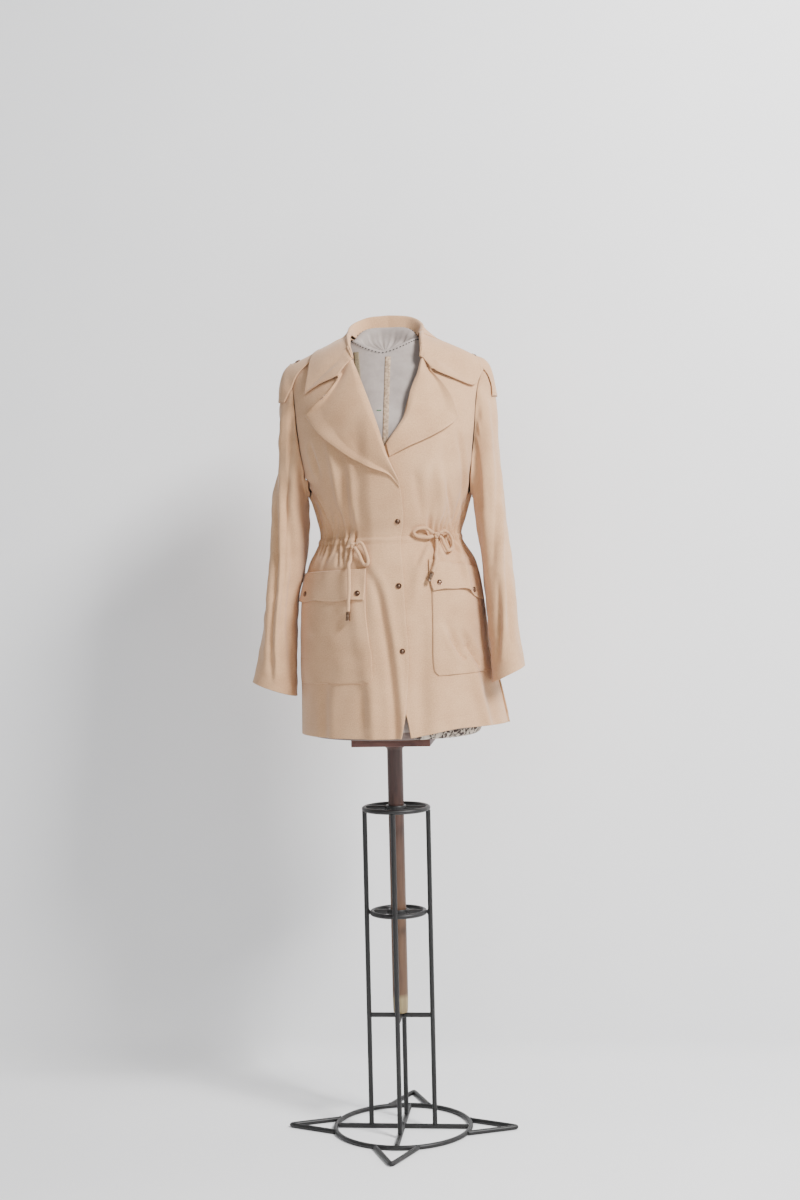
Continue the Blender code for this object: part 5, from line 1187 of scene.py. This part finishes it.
# Ring snaps of antique brass: a domed middle in a raised ring, clenched through the cloth.
# Three run down the right front, two close each flap and one holds each shoulder strap.
SNAPS = ((0.0285, 1.188, "front_right_panel"), (0.0295, 1.067, "front_right_panel"),
         (0.0345, 0.945, "front_right_panel"), (-0.0490, 1.055, "flap_right_cloth"),
         (-0.1600, 1.054, "flap_right_cloth"), (0.1045, 1.072, "flap_left_cloth"),
         (0.1650, 1.056, "flap_left_cloth"))
STRAP_SNAP_TURN, STRAP_SNAP_Y, SNAP_REACH = 27.0, -0.012, 0.0044
RING_SNAP = ((0.0001, -0.0006), (0.0054, -0.0006), (0.0056, 0.0002), (0.0055, 0.0010), (0.0049, 0.0016),
             (0.0042, 0.0015), (0.0037, 0.0009), (0.0033, 0.0005), (0.0029, 0.0008), (0.0024, 0.0014),
             (0.0014, 0.0018), (0.0001, 0.0019))
spots = []
for x, z, host in SNAPS:
    spots.append((tree_of(host), Vector((x, -0.4, z)), Vector((0.0, 1.0, 0.0))))
for side, hand in ((-1.0, "right"), (1.0, "left")):
    turn = math.radians(STRAP_SNAP_TURN)
    towards = Vector((-side * math.sin(turn), 0.0, -math.cos(turn)))
    spots.append((tree_of("epaulette_%s_cloth" % hand),
                  Vector((side * STRAP_X, STRAP_SNAP_Y, STRAP_Z)) - towards * 0.3, towards))
places, facings = [], []
for tree, start, towards in spots:
    sideways = towards.cross(Vector((0.0, 0.3, 1.0))).normalized()
    upward = sideways.cross(towards).normalized()
    middle = tree.ray_cast(start, towards)[0]
    around = [tree.find_nearest(middle + step * SNAP_REACH)[0] for step in (-sideways, sideways, -upward, upward)]
    normal = (around[1] - around[0]).cross(around[3] - around[2]).normalized()
    normal = normal if normal.dot(towards) < 0.0 else -normal
    places.append((sum(around, Vector()) + middle * 2.0) / 6.0 + normal * 0.0004)
    facings.append(normal)
ring_snap = lathe("ring_snap", RING_SNAP, (0.0, 0.0, 0.0), (0.0, 0.0, 1.0), tip_brass, 28)
snap_brass = metal("antique brass snap", "#8C7260", "#4A3428", 0.36)
snaps = repeat_on("ring_snaps", places, [(1.0, 0.0, 0.2)] * len(places), facings, ring_snap, snap_brass)
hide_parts(*("snap_%d" % k for k in range(1, 8)), "snap_strap_right", "snap_strap_left")
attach(snaps, "form")

# The dress form is a calico-covered torso with tapes pinned down its front and side-front seams.
# Its neck is closed by a slanting disc of calico, drawn into the middle in pleats.
FORM_BOTTOM, WALL = 0.7763, 0.0018
SIDES = 144
turn = 2.0 * math.pi * np.arange(SIDES) / SIDES


def form_ring(z, lean):
    """One ring of the torso; it leans up towards the back at the neck."""
    height = z - lean * np.cos(turn)
    face = np.where(np.cos(turn) > 0.0, -1, 1)
    wide = NECK_HALF - 0.006 + (NECK_Z - 0.0036 - WALL - height) / SHOULDER_FALL
    half = half_width(-1.0, height) - 0.010
    half = np.where(height > 1.2, np.minimum(half, 0.176), half)
    x = np.maximum(np.minimum(wide, half), 0.054) * np.sin(turn)
    share = np.minimum(np.abs(x) / (half_width(-1.0, height) - 0.010), 0.99999)
    hollow = mix(0.0078, 0.0230, ease(1.36, 1.46, height))
    deep = np.where(face < 0, look(BODY, "front", height), look(BODY, "back", height)) - hollow
    full = deep * (1.0 - share ** 2.2) ** 0.6
    top = ridge(x) - 0.0036 - WALL
    rise = np.maximum(0.0, (height - DOME) / (top - DOME))
    y = full * np.sqrt(np.maximum(0.0, 1.0 - rise ** 2.2))
    inside = np.maximum(0.0, 1.0 - (x / 0.054) ** 2)
    y = np.maximum(y, np.where(face < 0, 0.060, 0.041) * np.sqrt(inside) * ease(1.44, 1.49, height))
    return np.stack([x, face * np.maximum(y, 0.0002 * np.abs(np.cos(turn))), height], axis=1)


rows = np.concatenate([[0.0, 0.0015, 0.004, 0.008], np.linspace(0.013, 0.64, 70), np.linspace(0.645, 0.765, 40)])
grid = np.array([form_ring(FORM_BOTTOM + row, 0.030 * ease(1.44, 1.53, FORM_BOTTOM + row)) for row in rows])
middle = grid[0].mean(axis=0)
for number, share in ((0, 0.930), (1, 0.950), (2, 0.972), (3, 0.990)):
    grid[number] = middle + (grid[number] - middle) * share
    grid[number, :, 2] = FORM_BOTTOM + rows[number]
# The neckline seam dips in front and rises steeply to the sides, and the torso narrows up to it.
swing = np.abs(np.sin(turn)) ** 1.5
in_front = np.cos(turn) > 0.0
neckline = np.stack([0.0655 * np.sin(turn), np.where(in_front, -0.0643, 0.0410) * np.abs(np.cos(turn)) ** 0.85,
                     np.where(in_front, 1.511 + 0.030 * swing, 1.571 - 0.030 * swing ** 3)], axis=1)
NARROWED = 18
for k in range(NARROWED):
    lower = neckline - np.array((0.0, 0.0, 0.0006 * k))
    grid[-k - 1] = mix(grid[-k - 1], lower, (1.0 - k / NARROWED) ** 2)
rim = grid[-1]
middle = rim.mean(axis=0)
dish = []
chance = np.random.default_rng(12)
pleats = np.zeros(SIDES)
PLEATS = 13
for k in range(PLEATS):
    spot = 2.0 * math.pi * (k + chance.uniform(-0.25, 0.25)) / PLEATS
    apart = np.abs((turn - spot + math.pi) % (2.0 * math.pi) - math.pi)
    pleats -= chance.uniform(0.7, 1.2) * np.exp(-(apart / 0.07) ** 2)
    pleats += 0.5 * np.exp(-(np.abs((turn - spot - 0.14 + math.pi) % (2.0 * math.pi) - math.pi) / 0.09) ** 2)
# The dish of the neck: share of the rim, rise from it, and how deep the pleats are
DISH = ((0.985, 0.0014, 0.0), (0.95, 0.0022, 0.0), (0.91, 0.0020, 0.0), (0.87, 0.0012, 0.0002), (0.83, 0.0001, 0.0004),
        (0.79, -0.0018, 0.0009), (0.75, -0.0056, 0.0016), (0.71, -0.0112, 0.0024), (0.66, -0.0160, 0.0030),
        (0.59, -0.0190, 0.0030), (0.50, -0.0208, 0.0027), (0.40, -0.0222, 0.0022), (0.30, -0.0232, 0.0016),
        (0.20, -0.0238, 0.0010), (0.11, -0.0242, 0.0004), (0.03, -0.0244, 0.0))
PLEAT_GAIN = 1.7
for share, drop, deep in DISH:
    ring = middle + (rim - middle) * share
    ring[:, 2] += drop + PLEAT_GAIN * deep * pleats
    dish.append(ring)
grid = np.concatenate([grid, np.array(dish)])
calico, tree, shader = new_material("unbleached calico", "#9D918A", 0.92)
place = add_node(tree, "ShaderNodeTexCoord").outputs["Object"]
along = add_node(tree, "ShaderNodeUVMap", uv_map="cloth").outputs["UV"]
weave = [add_node(tree, "ShaderNodeTexWave", {"Vector": along, "Scale": 420.0, "Distortion": 1.5, "Detail": 2.0},
                  bands_direction=axis) for axis in ("X", "Y")]
crossed = add_node(tree, "ShaderNodeMath", {0: weave[0].outputs["Fac"], 1: weave[1].outputs["Fac"]},
                   operation="MAXIMUM")
soil = add_node(tree, "ShaderNodeTexNoise", {"Vector": place, "Scale": 14.0, "Detail": 6.0, "Roughness": 0.65})
tone = blended(tree, stretched(tree, soil.outputs["Fac"], 0.35, 0.65), "#8B807A", "#A59A93")
# Below the hem the form wears a print of dark and cream blots, seen only at its lower edge.
spots = add_node(tree, "ShaderNodeTexNoise", {"Vector": place, "Scale": 110.0, "Detail": 3.0, "Distortion": 1.4})
printed = blended(tree, stretched(tree, spots.outputs["Fac"], 0.44, 0.56), "#3A2F2C", "#C9BBAA")
apart = add_node(tree, "ShaderNodeSeparateXYZ", {"Vector": place})
low = stretched(tree, apart.outputs["Z"], 0.7925, 0.7915)
across = stretched(tree, apart.outputs["X"], 0.050, 0.056)
both = add_node(tree, "ShaderNodeMath", {0: low, 1: across}, operation="MULTIPLY")
final = blended(tree, both.outputs["Value"], blended(tree, low, tone, "#6E5F59"), printed)
tree.links.new(final, shader.inputs["Base Color"])
add_bump(tree, shader, crossed.outputs["Value"], 0.25, 0.0004)
torso = grid_mesh("calico_torso", grid, calico, wrap=True, caps=True)
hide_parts("dress_form")
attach(torso, "form")
torso_faces = [tuple(p.vertices) for p in torso.data.polygons]
torso_tree = BVHTree.FromPolygons([v.co for v in torso.data.vertices], torso_faces)


def on_torso(x, z, off):
    """A point of the torso's front at x and z, and its normal there."""
    hit, normal = torso_tree.ray_cast(Vector((x, -0.4, z)), Vector((0.0, 1.0, 0.0)))[:2]
    normal = normal if normal.y < 0.0 else -normal
    return np.array(hit + normal * off), np.array(normal)


def tape(name, line, width, finish):
    """A pinned tape: a thin strip that follows the torso's front."""
    line = curve_through(np.array(line) / 1000.0, 14)
    outer, inner = (np.array([[on_torso(x + w, z, off)[0] for w in np.linspace(-width / 2.0, width / 2.0, 5)]
                              for x, z in line]) for off in (0.0007, -0.0004))
    made = grid_mesh(name, np.concatenate([outer, inner[:, ::-1]], axis=1), finish, wrap=True, caps=True)
    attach(made, "form")


def braid(name, light, dark, scale):
    """Woven tape with a small raised pattern in a darker yarn."""
    made, tree, shader = new_material(name, light, 0.75)
    place = add_node(tree, "ShaderNodeTexCoord").outputs["Object"]
    figure = add_node(tree, "ShaderNodeTexVoronoi", {"Vector": place, "Scale": scale}, feature="SMOOTH_F1")
    grain = add_node(tree, "ShaderNodeTexNoise", {"Vector": place, "Scale": scale * 3.0, "Detail": 2.0})
    total = add_node(tree, "ShaderNodeMath", {0: figure.outputs["Distance"], 1: grain.outputs["Fac"]},
                     operation="MULTIPLY").outputs["Value"]
    tree.links.new(blended(tree, stretched(tree, total, 0.12, 0.34), dark, light), shader.inputs["Base Color"])
    add_bump(tree, shader, total, 0.5, 0.0006)
    return made


TAPE_WIDTH = 0.0105
tape("front_tape", [(11.4, 1503.0), (11.2, 1446.6), (10.7, 1388.2), (9.6, 1331.3), (9.0, 1290.0)], TAPE_WIDTH,
     braid("brocade tape", "#B89F86", "#8A745E", 230.0))
tape("side_tape", [(-51.0, 1515.0), (-45.5, 1470.0), (-41.0, 1419.0), (-44.0, 1360.0)], TAPE_WIDTH,
     braid("olive twill tape", "#85775C", "#6A5D47", 500.0))
# A dark machine stitch goes round the neckline, and three green stitches mark the chest line.
dark_thread = new_material("dark basting thread", "#1D1A18", 0.7)[0]
green_thread = new_material("green marking thread", "#0A7A3A", 0.6)[0]


def basting(name, places, facings, length, finish):
    """A row of hand stitches of thick thread."""
    piece = bead_piece(name + "_one", (length / 2.0, 0.0013, 0.0011))
    made = repeat_on(name, places, unit(np.gradient(places, axis=0)), facings, piece, finish)
    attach(made, "form")


# The row starts at the back of the neck and lies on the rim, just proud of the calico
seam_line = np.roll(rim, SIDES // 2, axis=0)
seam_line = seam_line + unit((seam_line - middle) * np.array((1.0, 1.0, 0.0))) * 0.0013
seam_line[:, 2] += 0.0003
run = lengths(seam_line)
places = read_at(np.arange(0.0, run[-1], 0.0072), run, seam_line)
basting("neckline_stitches", places, unit((places - middle) * np.array((1.0, 1.0, 0.2))), 0.0040, dark_thread)
marks = [on_torso(x / 1000.0, 1.3973, 0.0008) for x in (-5.6, -2.4, 0.8)]
basting("chest_mark", np.array([p for p, _ in marks]), np.array([n for _, n in marks]), 0.0028, green_thread)

# A stained board is screwed on top of a turned pole with a flared head.
# The pole goes down through two iron collars to a worn, paler end.


def wood(name, light, dark, worn=None):
    """Stained wood with long grain; worn gives the height below which the stain has rubbed off."""
    made, tree, shader = new_material(name, light, 0.5)
    place = add_node(tree, "ShaderNodeTexCoord").outputs["Object"]
    stretch = add_node(tree, "ShaderNodeMapping",
                       {"Vector": place, "Scale": (1.0, 6.0, 6.0) if worn is None else (6.0, 6.0, 0.5)})
    grain = add_node(tree, "ShaderNodeTexNoise", {"Vector": stretch.outputs["Vector"], "Scale": 16.0, "Detail": 8.0,
                                                  "Roughness": 0.65, "Distortion": 0.6})
    tone = blended(tree, stretched(tree, grain.outputs["Fac"], 0.36, 0.64), dark, light)
    if worn is not None:
        height = add_node(tree, "ShaderNodeSeparateXYZ", {"Vector": place}).outputs["Z"]
        for start, end, hex_code in ((0.66, 0.40, "#5E4430"), (worn + 0.006, worn - 0.004, "#8F7F5C")):
            down = stretched(tree, height, start, end)
            faded = add_node(tree, "ShaderNodeMath", {0: down, 1: grain.outputs["Fac"]}, operation="MULTIPLY")
            faded = add_node(tree, "ShaderNodeMath", {0: faded.outputs["Value"], 1: 1.7}, operation="MULTIPLY",
                             use_clamp=True)
            tone = blended(tree, faded.outputs["Value"], tone, hex_code)
    tree.links.new(tone, shader.inputs["Base Color"])
    add_bump(tree, shader, grain.outputs["Fac"], 0.3, 0.0008)
    return made


board_stain = wood("stained board", "#6B443B", "#452A24")
pole_stain = wood("stained pole", "#4A3029", "#33201B", worn=0.262)
BOARD_WIDE, BOARD_DEEP, UPRIGHT = 0.152, 0.150, (0.0, 0.0, 1.0)
low_z, top_z = FORM_BOTTOM - 0.0178, FORM_BOTTOM - 0.0003
work = bmesh.new()
bmesh.ops.create_cube(work, size=1.0)
for v in work.verts:
    v.co = Vector((v.co.x * BOARD_WIDE, v.co.y * BOARD_DEEP, mix(low_z, top_z, v.co.z + 0.5)))
bmesh.ops.bevel(work, geom=list(work.edges), offset=0.0016, segments=4, affect="EDGES", profile=0.6)
mesh = bpy.data.meshes.new("carrying_board")
work.to_mesh(mesh)
mesh.materials.append(board_stain)
mesh.shade_smooth()
mesh.set_sharp_from_angle(angle=math.radians(40))
board = bpy.data.objects.new("carrying_board", mesh)
bpy.context.scene.collection.objects.link(board)
head = low_z - 0.0003
pole = lathe("turned_pole", ((0.0001, 0.2292), (0.0122, 0.2292), (0.0134, 0.2297), (0.0141, 0.2312), (0.0146, 0.2400),
                             (0.0152, 0.2590), (0.0152, 0.50), (0.0152, head - 0.0125), (0.0158, head - 0.0100),
                             (0.0185, head - 0.0075), (0.0235, head - 0.0048), (0.0285, head - 0.0030),
                             (0.0294, head - 0.0018), (0.0295, head), (0.0001, head)), (0.0, 0.0, 0.0), UPRIGHT,
             pole_stain, 64)
SCREW = ((0.0001, 0.0), (0.0026, 0.0), (0.0040, 0.0006), (0.0044, 0.0016), (0.0044, 0.0021), (0.0001, 0.0021))
screws = [lathe("board_screw_" + hand, SCREW, (x, -0.050, low_z - 0.0020), UPRIGHT, snap_brass, 24)
          for hand, x in (("right", -0.052), ("left", 0.052))]
for piece, node, slot in ((board, "board", "board"), (pole, "pole", "pole"), (screws[0], None, "brass"),
                          (screws[1], None, "brass")):
    if node:
        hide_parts(node)
    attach(piece, "form")

# The stand is bent and welded from 9 mm iron rod, blackened and waxed, with small beads at its welds.
# Two collars guide the pole; a ring with four pointed feet carries four legs.
iron, tree, shader = new_material("blackened iron rod", "#121111", 0.42)
place = add_node(tree, "ShaderNodeTexCoord").outputs["Object"]
scale_marks = add_node(tree, "ShaderNodeTexNoise", {"Vector": place, "Scale": 120.0, "Detail": 5.0, "Roughness": 0.6})
tone = blended(tree, stretched(tree, scale_marks.outputs["Fac"], 0.3, 0.7), "#0B0A0A", "#191717")
tree.links.new(tone, shader.inputs["Base Color"])
shine = add_node(tree, "ShaderNodeMapRange", {"Value": scale_marks.outputs["Fac"], "To Min": 0.34, "To Max": 0.58})
tree.links.new(shine.outputs["Result"], shader.inputs["Roughness"])
add_bump(tree, shader, scale_marks.outputs["Fac"], 0.35, 0.0006)
ROD, LEG_R, TOP_Z, MID_Z, BRACE_Z, BASE_R, FOOT_R = 0.0047, 0.0625, 0.631, 0.427, 0.224, 0.1325, 0.2215
MID_R = LEG_R - 2.2 * ROD - 0.0004
COLLAR_R = 0.0159 + 0.004
TIP_BEND = 0.0030


def circle(radius, z, count):
    turn = 2.0 * math.pi * np.arange(count) / count
    return np.stack([radius * np.cos(turn), radius * np.sin(turn), 0.0 * turn + z], axis=1)


def rod(node, points, closed=False):
    points = np.asarray(points, dtype=float)
    run = points[1] - points[0]
    facing = (1.0, 0.0, 0.0) if abs(run[2]) > 0.9 * np.linalg.norm(run) else (0.0, 0.0, 1.0)
    made = sweep("iron_" + node, points, ROD, ROD, iron, closed=closed, sides=20, facing=facing)
    if not closed:
        made.data.set_sharp_from_angle(angle=math.radians(50))
    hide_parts(node)
    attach(made, "stand")


def up(z):
    return np.array((0.0, 0.0, z))


rod("base_ring", circle(BASE_R, ROD, 128), closed=True)
rod("ring_top", circle(LEG_R, TOP_Z, 80), closed=True)
rod("ring_mid", circle(MID_R, MID_Z, 72), closed=True)
inner = BASE_R - ROD - 0.0002
reach = LEG_R - ROD - 0.0002
rod("base_bar_across", [(-inner, 0, ROD), (0, 0, ROD), (inner, 0, ROD)])
rod("brace_across", [(-reach, 0, BRACE_Z), (0, 0, BRACE_Z), (reach, 0, BRACE_Z)])
welds = []
for word, side in (("front", -1.0), ("back", 1.0)):
    rod("base_bar_" + word, [(0, side * ROD * 0.9, ROD), (0, side * inner * 0.5, ROD), (0, side * inner, ROD)])
    rod("brace_" + word, [(0, side * ROD * 0.9, BRACE_Z), (0, side * reach * 0.5, BRACE_Z), (0, side * reach, BRACE_Z)])
    welds += [((0, side * inner, ROD), (0, side, 0)), ((0, side * ROD, ROD), (0, side, 0)),
              ((0, side * reach, BRACE_Z), (0, side, 0)), ((0, side * ROD, BRACE_Z), (0, side, 0))]
for number, word in enumerate(("left", "back", "right", "front")):
    angle = math.pi / 2.0 * number
    away = np.array((math.cos(angle), math.sin(angle), 0.0))
    rod("leg_" + word, [away * LEG_R + up(z) for z in (2.0 * ROD + 0.0002, BRACE_Z, MID_Z, TOP_Z - ROD - 0.0002)])
    welds += [(away * LEG_R + up(2.1 * ROD), UPRIGHT), (away * LEG_R + up(TOP_Z - ROD * 1.1), UPRIGHT),
              (away * (LEG_R - ROD) + up(MID_Z), away)]
    spread = math.radians(17.0)
    start = BASE_R + ROD * 0.92
    path = []
    for share in np.linspace(-1.0, 1.0, 61):
        # Each foot is one rod bent to a point: straight arms and a tight rounded tip.
        off = abs(share)
        sideways = math.sin(spread) * start * math.copysign(off, share)
        bent = math.sqrt(off * off + TIP_BEND) - math.sqrt(TIP_BEND) * (1.0 - off)
        forward = mix(FOOT_R - 0.0005, math.cos(spread) * start, bent)
        path.append(away * forward + np.array((-away[1], away[0], 0.0)) * sideways + up(ROD))
    rod("foot_" + word, path)
    for end in (0, -1):
        welds.append((path[end], path[end] - up(ROD)))
for tag, z, ring_r in (("top", TOP_Z, LEG_R), ("mid", MID_Z, MID_R)):
    ring = lathe("iron_collar_" + tag, ((0.0161, -0.0060), (0.0194, -0.0060), (0.0199, -0.0054), (0.0199, 0.0054),
                                        (0.0194, 0.0060), (0.0161, 0.0060), (0.0159, 0.0056), (0.0159, -0.0056)),
                 (0.0, 0.0, z), UPRIGHT, iron, 56)
    work = bmesh.new()
    work.from_mesh(ring.data)
    bmesh.ops.delete(work, geom=[f for f in work.faces if len(f.verts) > 4], context="FACES_ONLY")
    bmesh.ops.bridge_loops(work, edges=[e for e in work.edges if e.is_boundary])
    bmesh.ops.recalc_face_normals(work, faces=work.faces)
    work.to_mesh(ring.data)
    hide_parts("collar_" + tag)
    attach(ring, "stand")
    for word, side in (("right", -1.0), ("left", 1.0)):
        a, b = side * (COLLAR_R + 0.0001), side * (ring_r - ROD * 0.98)
        rod("bar_%s_%s" % (tag, word), [(a, 0, z), ((a + b) / 2.0, 0, z), (b, 0, z)])
        welds += [((a, 0, z), (side, 0, 0)), ((b, 0, z), (side, 0, 0))]
weld = bead_piece("weld", (0.0054, 0.0054, 0.0022), subdivisions=3, lumps=0.06)
spots = np.array([place for place, _ in welds], dtype=float)
spots[:, 2] = np.maximum(spots[:, 2], 0.0056)
beads = repeat_on("weld_beads", spots, [(0.3, 0.3, 0.3)] * len(welds), [out for _, out in welds], weld, iron)
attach(beads, "stand")
